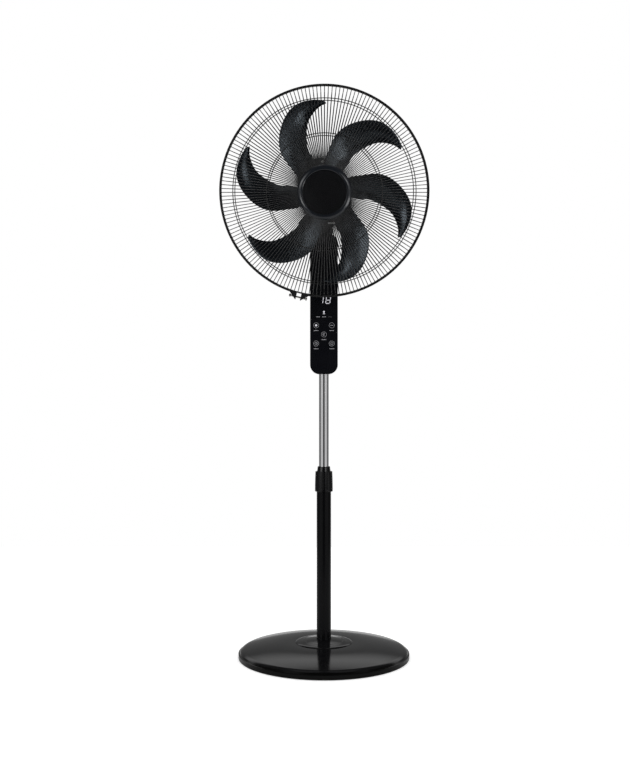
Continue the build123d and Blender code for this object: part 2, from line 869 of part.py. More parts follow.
neck_half = ear_inner - loose_fit
with BuildPart() as swing_neck:
    with BuildSketch(Plane.YZ):
        with Locations((0, tilt_pin_height)):
            Circle(neck_barrel_radius)
    extrude(amount=neck_half, both=True)
    with BuildSketch(neck_plane):
        Rectangle(2 * neck_half, 2 * neck_barrel_radius)
    extrude(amount=seat_low + 1.0)
    with BuildSketch(neck_section):
        Polygon(
            (0, seat_low),
            (seat_low_radius, seat_low),
            (seat_radius, seat_top - 1.5),
            (seat_radius, seat_top),
            (0, seat_top),
            align=None,
        )
    revolve(axis=swing_axis)
    with BuildSketch(Plane.YZ):
        with Locations((0, tilt_pin_height)):
            Circle(tilt_pin_radius + running_fit)
    extrude(amount=neck_half + 1.0, both=True, mode=Mode.SUBTRACT)
    with BuildSketch(neck_plane.offset(swing_pin_foot)):
        Circle(swing_pin_radius + running_fit)
    extrude(amount=seat_top, mode=Mode.SUBTRACT)
swing_neck.part.label = "swing_neck"
export_step(swing_neck.part, "parts/swing_neck.step")

# ---------------------------------------------------------------- swing bearing and drive

boss_foot = seat_top + thrust_washer_thickness + running_fit
boss_top = boss_foot + swing_boss_height
circlip_low = boss_top + loose_fit
swing_pin_top = circlip_low + circlip_thickness + 1.5
with BuildPart() as swing_pin:
    with BuildSketch(neck_section):
        ring_section(0, swing_pin_radius, swing_pin_foot, swing_pin_top)
    revolve(axis=swing_axis)
swing_pin.part.label = "swing_pin"
export_step(swing_pin.part, "parts/swing_pin.step")

with BuildPart() as swing_circlip:
    with BuildSketch(neck_section):
        ring_section(
            swing_pin_radius + running_fit,
            circlip_radius,
            circlip_low,
            circlip_low + circlip_thickness,
        )
    revolve(axis=swing_axis)
    with BuildSketch(neck_plane.offset(circlip_low)):
        Rectangle(circlip_radius + 1.0, 3.0, align=(Align.MIN, Align.CENTER))
    extrude(amount=circlip_thickness, mode=Mode.SUBTRACT)
swing_circlip.part.label = "swing_circlip"
export_step(swing_circlip.part, "parts/swing_circlip.step")

with BuildPart() as thrust_washer:
    with BuildSketch(neck_section):
        ring_section(
            swing_pin_radius + loose_fit,
            swing_boss_radius,
            seat_top,
            seat_top + thrust_washer_thickness,
        )
    revolve(axis=swing_axis)
thrust_washer.part.label = "thrust_washer"
export_step(thrust_washer.part, "parts/thrust_washer.step")


def gear_outline(teeth, first_tooth):
    """An involute spur gear's outline on the current sketch, its first tooth at this angle."""
    pressure = radians(pressure_angle)
    pitch_radius = gear_module * teeth / 2
    base_circle = pitch_radius * cos(pressure)
    tip_circle = pitch_radius + 0.9 * gear_module
    root_circle = pitch_radius - 1.15 * gear_module
    half_base = pi / (2 * teeth) - gear_backlash / (2 * pitch_radius) + tan(pressure) - pressure
    flank_start = max(base_circle, root_circle)
    flank_steps = 3
    flank = []
    for step in range(flank_steps + 1):
        radius = flank_start + (tip_circle - flank_start) * step / flank_steps
        roll = acos(base_circle / radius)
        flank.append((radius, half_base - (tan(roll) - roll)))
    flank.insert(0, (root_circle, flank[0][1]))
    points = []
    for tooth in range(teeth):
        centre = first_tooth + 360.0 * tooth / teeth
        points += [along(radius, centre - half * 180 / pi) for radius, half in flank]
        points += [along(radius, centre + half * 180 / pi) for radius, half in reversed(flank)]
    Polygon(*points, align=None)


gear_low = seat_top
with BuildPart() as swing_gear:
    with BuildSketch(neck_plane.offset(gear_low)):
        gear_outline(swing_gear_teeth, 90.0)
        Circle(swing_boss_radius + 1.5, mode=Mode.SUBTRACT)
    extrude(amount=gear_thickness)
swing_gear.part.label = "swing_gear"
export_step(swing_gear.part, "parts/swing_gear.step")

shelf_low = housing_floor + swing_shelf_rise
shelf_top = shelf_low + swing_shelf_thickness
pinion_low = gear_low + 0.6
pinion_plane = Plane(pinion_origin, x_dir=(1, 0, 0), z_dir=neck_plane.z_dir)
shaft_socket = 4.0
with BuildPart() as swing_pinion:
    with BuildSketch(pinion_plane.offset(pinion_low)):
        gear_outline(pinion_teeth, -90.0 + 180.0 / pinion_teeth)
    extrude(amount=gear_thickness)
    with BuildSketch(pinion_plane.offset(pinion_low)):
        Circle(pinion_shaft_radius)
    extrude(amount=shelf_top + shaft_socket - pinion_low)
swing_pinion.part.label = "swing_pinion"
export_step(swing_pinion.part, "parts/swing_pinion.step")

with BuildPart() as swing_motor:
    with BuildSketch(pinion_section):
        ring_section(0, swing_motor_radius, shelf_top, shelf_top + swing_motor_height)
    revolve(axis=pinion_axis)
    fillet(swing_motor.edges().filter_by(GeomType.CIRCLE).sort_by(pinion_axis)[-1], 1.5)
    with BuildSketch(pinion_plane.offset(shelf_top)):
        Circle(pinion_shaft_radius + running_fit)
    extrude(amount=shaft_socket + 0.5, mode=Mode.SUBTRACT)
swing_motor.part.label = "swing_motor"
export_step(swing_motor.part, "parts/swing_motor.step")

with BuildPart() as swing_bush:
    with BuildSketch(neck_section):
        ring_section(
            swing_pin_radius + running_fit,
            swing_pin_radius + swing_bush_wall,
            boss_foot,
            boss_top,
        )
    revolve(axis=swing_axis)
swing_bush.part.label = "swing_bush"
export_step(swing_bush.part, "parts/swing_bush.step")

# ---------------------------------------------------------------- motor housing

housing_front = motor_face - front_plate_thickness
housing_back = motor_face - housing_length
skirt_foot = seat_top - 2.5
skirt_tail_radius = gear_module * pinion_teeth / 2 + gear_module + 4.0
skirt_radius = seat_radius + 1.2 + skirt_wall
screw_angles = (0.0, 90.0, 180.0, 270.0)


def skirt_outline(inset=0.0):
    """The gear skirt seen along the swing axis: a large and a small circle with tangent sides."""
    big, small = skirt_radius - inset, skirt_tail_radius - inset
    side = (big - small) / gear_centres
    rise = sqrt(1 - side * side)
    right = Line((big * rise, big * side), (small * rise, gear_centres + small * side))
    left = Line((-small * rise, gear_centres + small * side), (-big * rise, big * side))
    ThreePointArc(right @ 1, (0, gear_centres + small), left @ 0)
    ThreePointArc(left @ 1, (0, -big), right @ 0)


with BuildPart() as motor_housing:
    with BuildSketch(neck_plane.offset(skirt_foot)):
        with BuildLine():
            skirt_outline()
        make_face()
    extrude(amount=axis_height - skirt_foot - 0.6 * housing_radius)
    with BuildSketch(neck_plane.offset(skirt_foot + 1.6)):
        with BuildLine():
            skirt_outline(skirt_wall)
        make_face()
    extrude(amount=axis_height, mode=Mode.SUBTRACT)
    with BuildSketch(neck_plane.offset(skirt_foot - 1.0)):
        Circle(seat_radius + 1.0)
    extrude(amount=4.0, mode=Mode.SUBTRACT)
    with BuildSketch(head_section):
        with BuildLine():
            Polyline(
                (0, housing_back),
                (0, housing_front),
                (housing_radius, housing_front),
                (housing_radius, housing_back + housing_tail_round),
            )
            ThreePointArc(
                (housing_radius, housing_back + housing_tail_round),
                (housing_radius - 5.5, housing_back + 5.5),
                (housing_radius - housing_tail_round, housing_back),
            )
            Line((housing_radius - housing_tail_round, housing_back), (0, housing_back))
        make_face()
    revolve(axis=fan_axis)
    with BuildSketch(head_section):
        with BuildLine():
            inner_radius = housing_radius - housing_wall
            inner_end = housing_back + housing_wall
            Polyline(
                (0, inner_end),
                (0, housing_front + 1.0),
                (inner_radius, housing_front + 1.0),
                (inner_radius, housing_back + housing_tail_round),
            )
            ThreePointArc(
                (inner_radius, housing_back + housing_tail_round),
                (inner_radius - 5.5, inner_end + 5.0),
                (housing_radius - housing_tail_round, inner_end),
            )
            Line((housing_radius - housing_tail_round, inner_end), (0, inner_end))
        make_face()
    revolve(axis=fan_axis, mode=Mode.SUBTRACT)
    # air slots in the tail
    with BuildSketch(head_plane.offset(housing_back)):
        with PolarLocations(0.42 * housing_radius, housing_vents):
            SlotOverall(vent_length, vent_width)
    extrude(amount=housing_wall + 0.5, mode=Mode.SUBTRACT)
    # shelf of the swing motor
    shelf_half = sqrt(inner_radius**2 - (axis_height - shelf_top) ** 2) + 0.2
    with BuildSketch(neck_plane.offset(shelf_low)):
        with Locations((0, gear_centres)):
            Rectangle(2 * shelf_half, 2 * swing_motor_radius)
    extrude(amount=swing_shelf_thickness)
    with BuildSketch(neck_plane.offset(boss_foot)):
        Circle(swing_boss_radius)
    extrude(amount=swing_boss_height)
    with BuildSketch(neck_plane.offset(boss_foot - 1.0)):
        Circle(swing_pin_radius + swing_bush_wall + running_fit)
    extrude(amount=swing_boss_height + 2.0, mode=Mode.SUBTRACT)
    with BuildSketch(pinion_plane.offset(housing_floor - 2.0)):
        Circle(pinion_shaft_radius + 1.0)
    extrude(amount=shelf_top - housing_floor + 4.0, mode=Mode.SUBTRACT)
    # screw bosses of the front plate
    with BuildSketch(head_plane.offset(housing_front - housing_boss_length)):
        circles_round(
            housing_screw_circle,
            screw_angles,
            housing_radius - housing_wall - housing_screw_circle + 0.4,
        )
    extrude(amount=housing_boss_length)
    with BuildSketch(head_plane.offset(housing_front - housing_boss_length + 2.0)):
        circles_round(housing_screw_circle, screw_angles, housing_screw_radius + running_fit)
    extrude(amount=housing_boss_length, mode=Mode.SUBTRACT)
motor_housing.part.label = "motor_housing"
export_step(motor_housing.part, "parts/motor_housing.step")

screw_sink = 2.4
with BuildPart() as motor_front_plate:
    with BuildSketch(head_plane.offset(housing_front)):
        Circle(housing_radius)
        Circle(nose_radius + loose_fit, mode=Mode.SUBTRACT)
    extrude(amount=front_plate_thickness)
    with BuildSketch(head_plane.offset(motor_face)):
        circles_round(housing_screw_circle, screw_angles, housing_screw_radius + running_fit)
    extrude(amount=-front_plate_thickness, mode=Mode.SUBTRACT)
    with BuildSketch(head_plane.offset(motor_face)):
        circles_round(housing_screw_circle, screw_angles, housing_screw_radius + 1.6)
    extrude(amount=-screw_sink, mode=Mode.SUBTRACT)
motor_front_plate.part.label = "motor_front_plate"
export_step(motor_front_plate.part, "parts/motor_front_plate.step")

with BuildPart() as housing_screws:
    with BuildSketch(head_plane.offset(motor_face - screw_sink)):
        circles_round(housing_screw_circle, screw_angles, housing_screw_radius + 1.3)
    extrude(amount=1.6)
    with BuildSketch(head_plane.offset(motor_face - screw_sink)):
        circles_round(housing_screw_circle, screw_angles, housing_screw_radius)
    extrude(amount=-front_plate_thickness - 8.0)
housing_screws.part.label = "housing_screws"
export_step(housing_screws.part, "parts/housing_screws.step")

# ---------------------------------------------------------------- motor

shield_face = housing_front
stator_front = shield_face - shield_thickness - end_turn_space
stator_back = stator_front - stator_length
rear_shield_face = stator_back - end_turn_space
rear_boss_back = rear_shield_face - shield_thickness - bearing_length
nose_front = motor_face + nose_length
ear_angles = (45.0, 135.0, 225.0, 315.0)


with BuildPart() as front_shield:
    with BuildSketch(head_section):
        ring_section(0, stator_radius, shield_face - shield_thickness, shield_face)
        ring_section(0, nose_radius, shield_face, nose_front)
        ring_section(
            stator_radius - shield_rim, stator_radius, stator_front, shield_face - shield_thickness
        )
    revolve(axis=fan_axis)
    with BuildSketch(head_plane.offset(shield_face)):
        circles_round(motor_bolt_circle, ear_angles, motor_ear_radius)
    extrude(amount=-shield_thickness)
    with BuildSketch(head_plane.offset(shield_face)):
        circles_round(motor_bolt_circle, ear_angles, motor_bolt_radius + loose_fit)
    extrude(amount=-shield_thickness, mode=Mode.SUBTRACT)
    with BuildSketch(head_section):
        ring_section(0, shaft_radius + 1.0, stator_front, nose_front + 1.0)
        ring_section(
            0,
            bearing_radius + running_fit,
            nose_front - bearing_length - 2.0,
            nose_front + 1.0,
        )
    revolve(axis=fan_axis, mode=Mode.SUBTRACT)
front_shield.part.label = "front_shield"
export_step(front_shield.part, "parts/front_shield.step")

with BuildPart() as rear_shield:
    with BuildSketch(head_section):
        ring_section(
            0, stator_radius, rear_shield_face - shield_thickness, rear_shield_face
        )
        ring_section(0, bearing_boss_radius, rear_boss_back, rear_shield_face)
        ring_section(stator_radius - shield_rim, stator_radius, rear_shield_face, stator_back)
    revolve(axis=fan_axis)
    with BuildSketch(head_plane.offset(rear_shield_face)):
        circles_round(motor_bolt_circle, ear_angles, motor_ear_radius)
    extrude(amount=-shield_thickness)
    with BuildSketch(head_plane.offset(rear_shield_face)):
        circles_round(motor_bolt_circle, ear_angles, motor_bolt_radius + loose_fit)
    extrude(amount=-shield_thickness, mode=Mode.SUBTRACT)
    with BuildSketch(head_section):
        ring_section(0, shaft_radius + 1.0, rear_boss_back - 1.0, rear_shield_face + 1.0)
        ring_section(
            0, bearing_radius + running_fit, rear_boss_back - 1.0, rear_boss_back + bearing_length
        )
    revolve(axis=fan_axis, mode=Mode.SUBTRACT)
rear_shield.part.label = "rear_shield"
export_step(rear_shield.part, "parts/rear_shield.step")

with BuildPart() as motor_bearings:
    with BuildSketch(head_section):
        ring_section(
            shaft_radius + running_fit,
            bearing_radius,
            nose_front - bearing_length - 2.0,
            nose_front - 2.0,
        )
        ring_section(
            shaft_radius + running_fit,
            bearing_radius,
            rear_boss_back,
            rear_boss_back + bearing_length,
        )
    revolve(axis=fan_axis)
motor_bearings.part.label = "motor_bearings"
export_step(motor_bearings.part, "parts/motor_bearings.step")

with BuildPart() as stator_core:
    with BuildSketch(head_section):
        ring_section(stator_bore_radius, stator_radius, stator_back, stator_front)
    revolve(axis=fan_axis)
stator_core.part.label = "stator_core"
export_step(stator_core.part, "parts/stator_core.step")

with BuildPart() as motor_windings:
    with BuildSketch(head_section):
        ring_section(end_turn_inner, end_turn_outer, stator_front, stator_front + end_turn_length)
        ring_section(end_turn_inner, end_turn_outer, stator_back - end_turn_length, stator_back)
    revolve(axis=fan_axis)
    fillet(motor_windings.edges().filter_by(GeomType.CIRCLE), 1.5)
motor_windings.part.label = "motor_windings"
export_step(motor_windings.part, "parts/motor_windings.step")

with BuildPart() as motor_bolts:
    with BuildSketch(head_plane.offset(rear_shield_face - shield_thickness)):
        circles_round(motor_bolt_circle, ear_angles, motor_bolt_radius)
    extrude(amount=shield_face - rear_shield_face + shield_thickness)
    with BuildSketch(head_plane.offset(rear_shield_face - shield_thickness)):
        circles_round(motor_bolt_circle, ear_angles, motor_bolt_radius + 1.6)
    extrude(amount=-2.5)
motor_bolts.part.label = "motor_bolts"
export_step(motor_bolts.part, "parts/motor_bolts.step")

with BuildPart() as rotor_core:
    with BuildSketch(head_section):
        ring_section(
            shaft_radius + 0.01, stator_bore_radius - air_gap, stator_back, stator_front
        )
    revolve(axis=fan_axis)
rotor_core.part.label = "rotor_core"
export_step(rotor_core.part, "parts/rotor_core.step")

drive_pin_place = hub_boss_back + 1.6
with BuildPart() as motor_shaft:
    with BuildSketch(head_section):
        ring_section(0, shaft_radius, rear_boss_back + 1.0, shaft_front)
    revolve(axis=fan_axis)
    with BuildSketch(head_section):
        with Locations((0, drive_pin_place)):
            Circle(drive_pin_radius + 0.01)
    # the cross hole runs up and down at rest
    extrude(amount=shaft_radius + 1.0, both=True, mode=Mode.SUBTRACT)
motor_shaft.part.label = "motor_shaft"
export_step(motor_shaft.part, "parts/motor_shaft.step")

with BuildPart() as drive_pin:
    with BuildSketch(head_section):
        with Locations((0, drive_pin_place)):
            Circle(drive_pin_radius)
    extrude(amount=drive_pin_length / 2, both=True)
drive_pin.part.label = "drive_pin"
export_step(drive_pin.part, "parts/drive_pin.step")

# ---------------------------------------------------------------- guard

rim_wire_centre = guard_radius - band_thickness - loose_fit - rim_wire_radius
rim_wire_depth = rim_wire_radius + 0.25
spoke_tail_depth = rim_wire_depth + rim_wire_radius + spoke_clear
spoke_end = guard_radius - band_thickness - loose_fit - tail_gap
tail_bend = guard_radius - tail_inset
front_line = (
    (front_spoke_start, front_depth),
    (guard_radius - front_shoulder[0], front_depth - front_shoulder[1]),
    (guard_radius - front_corner[0], front_depth - front_corner[1]),
    (tail_bend, spoke_tail_depth),
    (spoke_end, spoke_tail_depth),
)
rear_line = (
    (rear_spoke_start, -rear_depth),
    (guard_radius - rear_shoulder[0], rear_shoulder[1] - rear_depth),
    (guard_radius - rear_corner[0], rear_corner[1] - rear_depth),
    (tail_bend, -spoke_tail_depth),
    (spoke_end, -spoke_tail_depth),
)


def seat_on(line, radius):
    """The point of a spoke's centre line at this radius, and the line's direction there."""
    low, high = 0.0, 1.0
    for _ in range(30):
        middle = (low + high) / 2
        if (line @ middle).X < radius:
            low = middle
        else:
            high = middle
    return line @ low, line % low


def guard_rings(line, into_cage):
    """Sections of a guard's rim wire and its two rings, which lie inside the cage on the spokes."""
    step = spoke_clear + ring_wire_radius
    for radius in (middle_ring_radius, outer_ring_radius):
        point, direction = seat_on(line, radius)
        across = (-direction.Z * into_cage, direction.X * into_cage)
        with Locations((point.X - abs(across[0]) * step, point.Z + across[1] * step)):
            Circle(ring_wire_radius)
    with Locations((rim_wire_centre, -into_cage * rim_wire_depth)):
        Circle(rim_wire_radius)


with BuildPart() as front_spoke:
    with BuildLine(Plane.XZ) as front_spoke_line:
        FilletPolyline(*front_line, radius=spoke_bends)
    with BuildSketch(Plane(front_spoke_line.line @ 0, z_dir=front_spoke_line.line % 0)):
        Circle(spoke_radius)
    sweep(path=front_spoke_line.line)

with BuildPart(head_plane) as front_guard_spokes:
    with PolarLocations(0, spoke_count):
        add(front_spoke.part)
front_guard_spokes.part.label = "front_guard_spokes"
export_step(front_guard_spokes.part, "parts/front_guard_spokes.step")

with BuildPart() as front_guard_rings:
    with BuildSketch(head_section):
        guard_rings(front_spoke_line.line, -1)
    revolve(axis=fan_axis)
front_guard_rings.part.label = "front_guard_rings"
export_step(front_guard_rings.part, "parts/front_guard_rings.step")

with BuildPart() as rear_spoke:
    with BuildLine(Plane.XZ) as rear_spoke_line:
        FilletPolyline(*rear_line, radius=spoke_bends)
    with BuildSketch(Plane(rear_spoke_line.line @ 0, z_dir=rear_spoke_line.line % 0)):
        Circle(spoke_radius)
    sweep(path=rear_spoke_line.line)

with BuildPart(head_plane) as rear_guard_spokes:
    with PolarLocations(0, spoke_count):
        add(rear_spoke.part)
rear_guard_spokes.part.label = "rear_guard_spokes"
export_step(rear_guard_spokes.part, "parts/rear_guard_spokes.step")

with BuildPart() as rear_guard_rings:
    with BuildSketch(head_section):
        guard_rings(rear_spoke_line.line, 1)
    revolve(axis=fan_axis)
rear_guard_rings.part.label = "rear_guard_rings"
export_step(rear_guard_rings.part, "parts/rear_guard_rings.step")

front_disc_face = front_depth - spoke_clear
with BuildPart() as front_guard_disc:
    with BuildSketch(head_section):
        ring_section(0, front_disc_radius, front_disc_face - front_disc_thickness, front_disc_face)
    revolve(axis=fan_axis)
front_guard_disc.part.label = "front_guard_disc"
export_step(front_guard_disc.part, "parts/front_guard_disc.step")

# a round disc with a lobe above and below
with BuildPart() as rear_guard_disc:
    with BuildSketch(head_plane.offset(motor_face)):
        Circle(rear_lobe_radius)
        Rectangle(rear_lobe_width, 2 * rear_lobe_radius, mode=Mode.INTERSECT)
        Circle(rear_disc_radius)
        Circle(nose_radius + loose_fit, mode=Mode.SUBTRACT)
    extrude(amount=rear_disc_thickness)
    fillet(rear_guard_disc.edges().filter_by(GeomType.CIRCLE).group_by(SortBy.RADIUS)[-1], 0.6)
rear_guard_disc.part.label = "rear_guard_disc"
export_step(rear_guard_disc.part, "parts/rear_guard_disc.step")

with BuildPart() as guard_ring_nut:
    with BuildSketch(head_plane.offset(rear_disc_front)):
        Circle(ring_nut_radius)
        with PolarLocations(ring_nut_radius + 2.0, ring_nut_lobes):
            Circle(6.0, mode=Mode.SUBTRACT)
        Circle(nose_radius + running_fit, mode=Mode.SUBTRACT)
    extrude(amount=ring_nut_height)
guard_ring_nut.part.label = "guard_ring_nut"
export_step(guard_ring_nut.part, "parts/guard_ring_nut.step")

cap_spigot = front_spoke_start - 0.7
cap_skirt_depth = front_depth + spoke_clear
cap_front = front_disc_face + cap_height
with BuildPart() as cap_ring:
    with BuildSketch(head_section):
        with BuildLine():
            Polyline(
                (cap_radius, cap_skirt_depth + 0.9),
                (cap_radius, cap_skirt_depth),
                (cap_spigot, cap_skirt_depth),
                (cap_spigot, front_disc_face),
                (badge_radius + loose_fit, front_disc_face),
                (badge_radius + loose_fit, cap_front - 0.8),
                (badge_radius + 1.4, cap_front),
            )
            ThreePointArc(
                (badge_radius + 1.4, cap_front),
                (badge_radius + 6.6, cap_front - 1.2),
                (cap_radius, cap_skirt_depth + 0.9),
            )
        make_face()
    revolve(axis=fan_axis)
cap_ring.part.label = "cap_ring"
export_step(cap_ring.part, "parts/cap_ring.step")

badge_edge = cap_front - 2.6
badge_dome = 1.2
with BuildPart() as cap_badge:
    with BuildSketch(head_section):
        with BuildLine():
            Polyline(
                (badge_radius - badge_wall, badge_edge - badge_wall),
                (badge_radius - badge_wall, front_disc_face),
                (badge_radius, front_disc_face),
                (badge_radius, badge_edge),
            )
            RadiusArc(
                (badge_radius, badge_edge),
                (0, badge_edge + badge_dome),
                -dome_radius(badge_radius, badge_dome),
            )
            Line((0, badge_edge + badge_dome), (0, badge_edge + badge_dome - badge_wall))
            RadiusArc(
                (0, badge_edge + badge_dome - badge_wall),
                (badge_radius - badge_wall, badge_edge - badge_wall),
                dome_radius(badge_radius - badge_wall, badge_dome),
            )
        make_face()
    revolve(axis=fan_axis)
cap_badge.part.label = "cap_badge"
export_step(cap_badge.part, "parts/cap_badge.step")

lip_depth = spoke_tail_depth + spoke_clear
band_half = lip_depth + band_lip_thickness
band_inner = guard_radius - band_thickness
lip_radius = guard_radius - band_lip
lug_start = band_gap / 2
lug_end = lug_start + lug_length
screw_radius_place = guard_radius + 0.55 * lug_height
gap_plane = Plane(
    head_plane.origin,
    x_dir=head_plane.x_dir * cos(radians(band_gap_angle))
    + head_plane.y_dir * sin(radians(band_gap_angle)),
    z_dir=head_plane.z_dir,
)
screw_line_plane = Plane(
    gap_plane.from_local_coords((screw_radius_place, 0, 0)),
    x_dir=gap_plane.x_dir,
    z_dir=gap_plane.y_dir,
)
with BuildPart() as guard_band:
    with BuildSketch(head_section):
        Polygon(
            (guard_radius, -band_half),
            (guard_radius, band_half),
            (lip_radius, band_half),
            (lip_radius, lip_depth),
            (band_inner, lip_depth),
            (band_inner, -lip_depth),
            (lip_radius, -lip_depth),
            (lip_radius, -band_half),
            align=None,
        )
    revolve(axis=fan_axis)
    with BuildSketch(gap_plane.offset(-band_half - 1.0)):
        with Locations((guard_radius, 0)):
            Rectangle(20.0, band_gap)
    extrude(amount=2 * band_half + 2.0, mode=Mode.SUBTRACT)
    with BuildSketch(gap_plane.offset(-lug_thickness / 2)):
        for side in (-1, 1):
            Polygon(
                (guard_radius - 1.1, side * lug_start),
                (guard_radius + lug_height, side * lug_start),
                (guard_radius + lug_height, side * (lug_start + 1.0)),
                (guard_radius - 1.6, side * lug_end),
                align=None,
            )
    extrude(amount=lug_thickness)
    with BuildSketch(screw_line_plane.offset(-lug_end)):
        Circle(band_screw_radius + loose_fit)
    extrude(amount=2 * lug_end, mode=Mode.SUBTRACT)
guard_band.part.label = "guard_band"
export_step(guard_band.part, "parts/guard_band.step")

lug_slope = lug_length / (lug_height + 1.6)
screw_reach = lug_start + 1.0 + lug_slope * (lug_height + band_screw_head_radius - 0.55 * lug_height)
with BuildPart() as band_screw:
    with BuildSketch(screw_line_plane.offset(-screw_reach - 4.0)):
        Circle(band_screw_radius)
    extrude(amount=2 * screw_reach + 4.0)
    with BuildSketch(screw_line_plane.offset(screw_reach)):
        Circle(band_screw_head_radius)
    extrude(amount=2.6)
band_screw.part.label = "band_screw"
export_step(band_screw.part, "parts/band_screw.step")

with BuildPart() as band_nut:
    with BuildSketch(screw_line_plane.offset(-screw_reach)):
        RegularPolygon(band_screw_head_radius, 6)
        Circle(band_screw_radius + running_fit, mode=Mode.SUBTRACT)
    extrude(amount=-3.0)
band_nut.part.label = "band_nut"
export_step(band_nut.part, "parts/band_nut.step")

# ---------------------------------------------------------------- fan blade


def blade_edges(station):
    """The trailing and leading edge points of a station, the trailing edge standing forward."""
    trail_x, trail_y, lead_x, lead_y, pitch = station
    chord = sqrt((trail_x - lead_x) ** 2 + (trail_y - lead_y) ** 2)
    half_rise = chord * tan(radians(pitch)) / 2
    return Vector(trail_x, trail_y, half_rise), Vector(lead_x, lead_y, -half_rise)


blade_middles = [(trail + lead) / 2 for trail, lead in map(blade_edges, blade_stations)]
with BuildPart() as blade:
    for number, station in enumerate(blade_stations):
        trail, lead = blade_edges(station)
        before = blade_middles[max(number - 1, 0)]
        after = blade_middles[min(number + 1, len(blade_stations) - 1)]
        chord_line = lead - trail
        chord = chord_line.length
        across = chord_line.normalized()
        span = after - before
        span = (span - across * span.dot(across)).normalized()
        section = Plane((trail + lead) / 2, x_dir=across, z_dir=span)
        belly = -blade_camber * chord
        half_edge = blade_thickness / 4
        with BuildSketch(section):
            with BuildLine():
                upper = ThreePointArc(
                    (-chord / 2, half_edge), (0, belly + blade_thickness / 2), (chord / 2, half_edge)
                )
                lower = ThreePointArc(
                    (-chord / 2, -half_edge), (0, belly - blade_thickness / 2), (chord / 2, -half_edge)
                )
                Line(upper @ 0, lower @ 0)
                Line(upper @ 1, lower @ 1)
            make_face()
    loft()

hub_inner = hub_radius - hub_wall
with BuildPart(head_plane) as fan_blade:
    with BuildSketch(head_section):
        with BuildLine():
            Polyline((shaft_radius, hub_front), (hub_radius - hub_corner, hub_front))
            RadiusArc(
                (hub_radius - hub_corner, hub_front), (hub_radius, hub_front - hub_corner), hub_corner
            )
            Polyline(
                (hub_radius, hub_front - hub_corner),
                (hub_radius, hub_back),
                (hub_inner, hub_back),
                (hub_inner, hub_front - hub_corner),
            )
            RadiusArc(
                (hub_inner, hub_front - hub_corner),
                (hub_radius - hub_corner, hub_front - hub_wall),
                -(hub_corner - hub_wall),
            )
            Polyline(
                (hub_radius - hub_corner, hub_front - hub_wall),
                (hub_boss_radius, hub_front - hub_wall),
                (hub_boss_radius, hub_boss_back),
                (shaft_radius, hub_boss_back),
                (shaft_radius, hub_front),
            )
        make_face()
    revolve(axis=fan_axis)
    with PolarLocations(0, blade_count):
        add(blade.part)
    # what the blade roots leave inside the hub is cleared again
    with BuildSketch(head_section):
        ring_section(hub_boss_radius, hub_inner, hub_back - 10.0, hub_front - hub_corner)
    revolve(axis=fan_axis, mode=Mode.SUBTRACT)
    with BuildSketch(head_section):
        ring_section(0, shaft_radius + running_fit, hub_boss_back - 1.0, hub_front + 1.0)
    revolve(axis=fan_axis, mode=Mode.SUBTRACT)
    with BuildSketch(head_plane.offset(hub_boss_back - 1.0)):
        Rectangle(2 * drive_pin_radius + 0.2, 2 * hub_boss_radius + 2.0)
    extrude(amount=drive_pin_place + drive_pin_radius - hub_boss_back + 1.1, mode=Mode.SUBTRACT)
fan_blade.part.label = "fan_blade"
export_step(fan_blade.part, "parts/fan_blade.step")

spinner_back = hub_front
with BuildPart() as spinner_nut:
    with BuildSketch(head_section):
        with BuildLine():
            Line((0, spinner_back), (spinner_radius, spinner_back))
            Line((spinner_radius, spinner_back), (spinner_radius, spinner_back + 4.0))
            RadiusArc(
                (spinner_radius, spinner_back + 4.0),
                (0, spinner_back + spinner_height),
                -dome_radius(spinner_radius, spinner_height - 4.0),
            )
            Line((0, spinner_back + spinner_height), (0, spinner_back))
        make_face()
    revolve(axis=fan_axis)
    with BuildSketch(head_section):
        ring_section(0, shaft_radius + running_fit, spinner_back, shaft_front + loose_fit)
    revolve(axis=fan_axis, mode=Mode.SUBTRACT)
spinner_nut.part.label = "spinner_nut"
export_step(spinner_nut.part, "parts/spinner_nut.step")
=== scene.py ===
import json
import math

import bmesh
import bpy
from mathutils import Matrix, Vector


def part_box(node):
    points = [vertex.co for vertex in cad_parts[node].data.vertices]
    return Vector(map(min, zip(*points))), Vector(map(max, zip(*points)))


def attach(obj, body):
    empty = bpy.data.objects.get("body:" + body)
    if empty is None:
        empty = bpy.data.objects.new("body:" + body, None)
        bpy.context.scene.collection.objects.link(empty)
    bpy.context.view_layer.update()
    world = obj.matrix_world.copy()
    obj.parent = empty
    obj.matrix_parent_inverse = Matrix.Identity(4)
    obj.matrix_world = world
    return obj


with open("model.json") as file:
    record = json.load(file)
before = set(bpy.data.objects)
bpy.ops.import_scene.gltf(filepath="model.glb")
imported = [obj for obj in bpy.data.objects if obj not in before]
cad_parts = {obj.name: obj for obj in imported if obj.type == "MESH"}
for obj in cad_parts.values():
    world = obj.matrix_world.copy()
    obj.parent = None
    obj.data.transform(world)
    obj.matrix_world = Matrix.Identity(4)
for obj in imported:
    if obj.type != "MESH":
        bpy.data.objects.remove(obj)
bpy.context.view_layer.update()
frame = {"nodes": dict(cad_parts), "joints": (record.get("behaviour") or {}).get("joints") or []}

# ---------------------------------------------------------------- the frame's places

LEAN = math.radians(10.0)  # of the fan's axis, forwards and down
MM = 0.001
NODES = frame["nodes"]
JOINTS = {joint["name"]: joint for joint in frame["joints"]}
FAN_POINT = Vector(JOINTS["blade_spin"]["pos_m"])
FORWARD = Vector(JOINTS["blade_spin"]["axis"]).normalized()
UP_HEAD = Vector((0.0, FORWARD.z, -FORWARD.y))
RIGHT = Vector((1.0, 0.0, 0.0))
RIM_WIDTH = 4.9 * MM
RIM_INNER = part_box("base_cover")[1].x - RIM_WIDTH

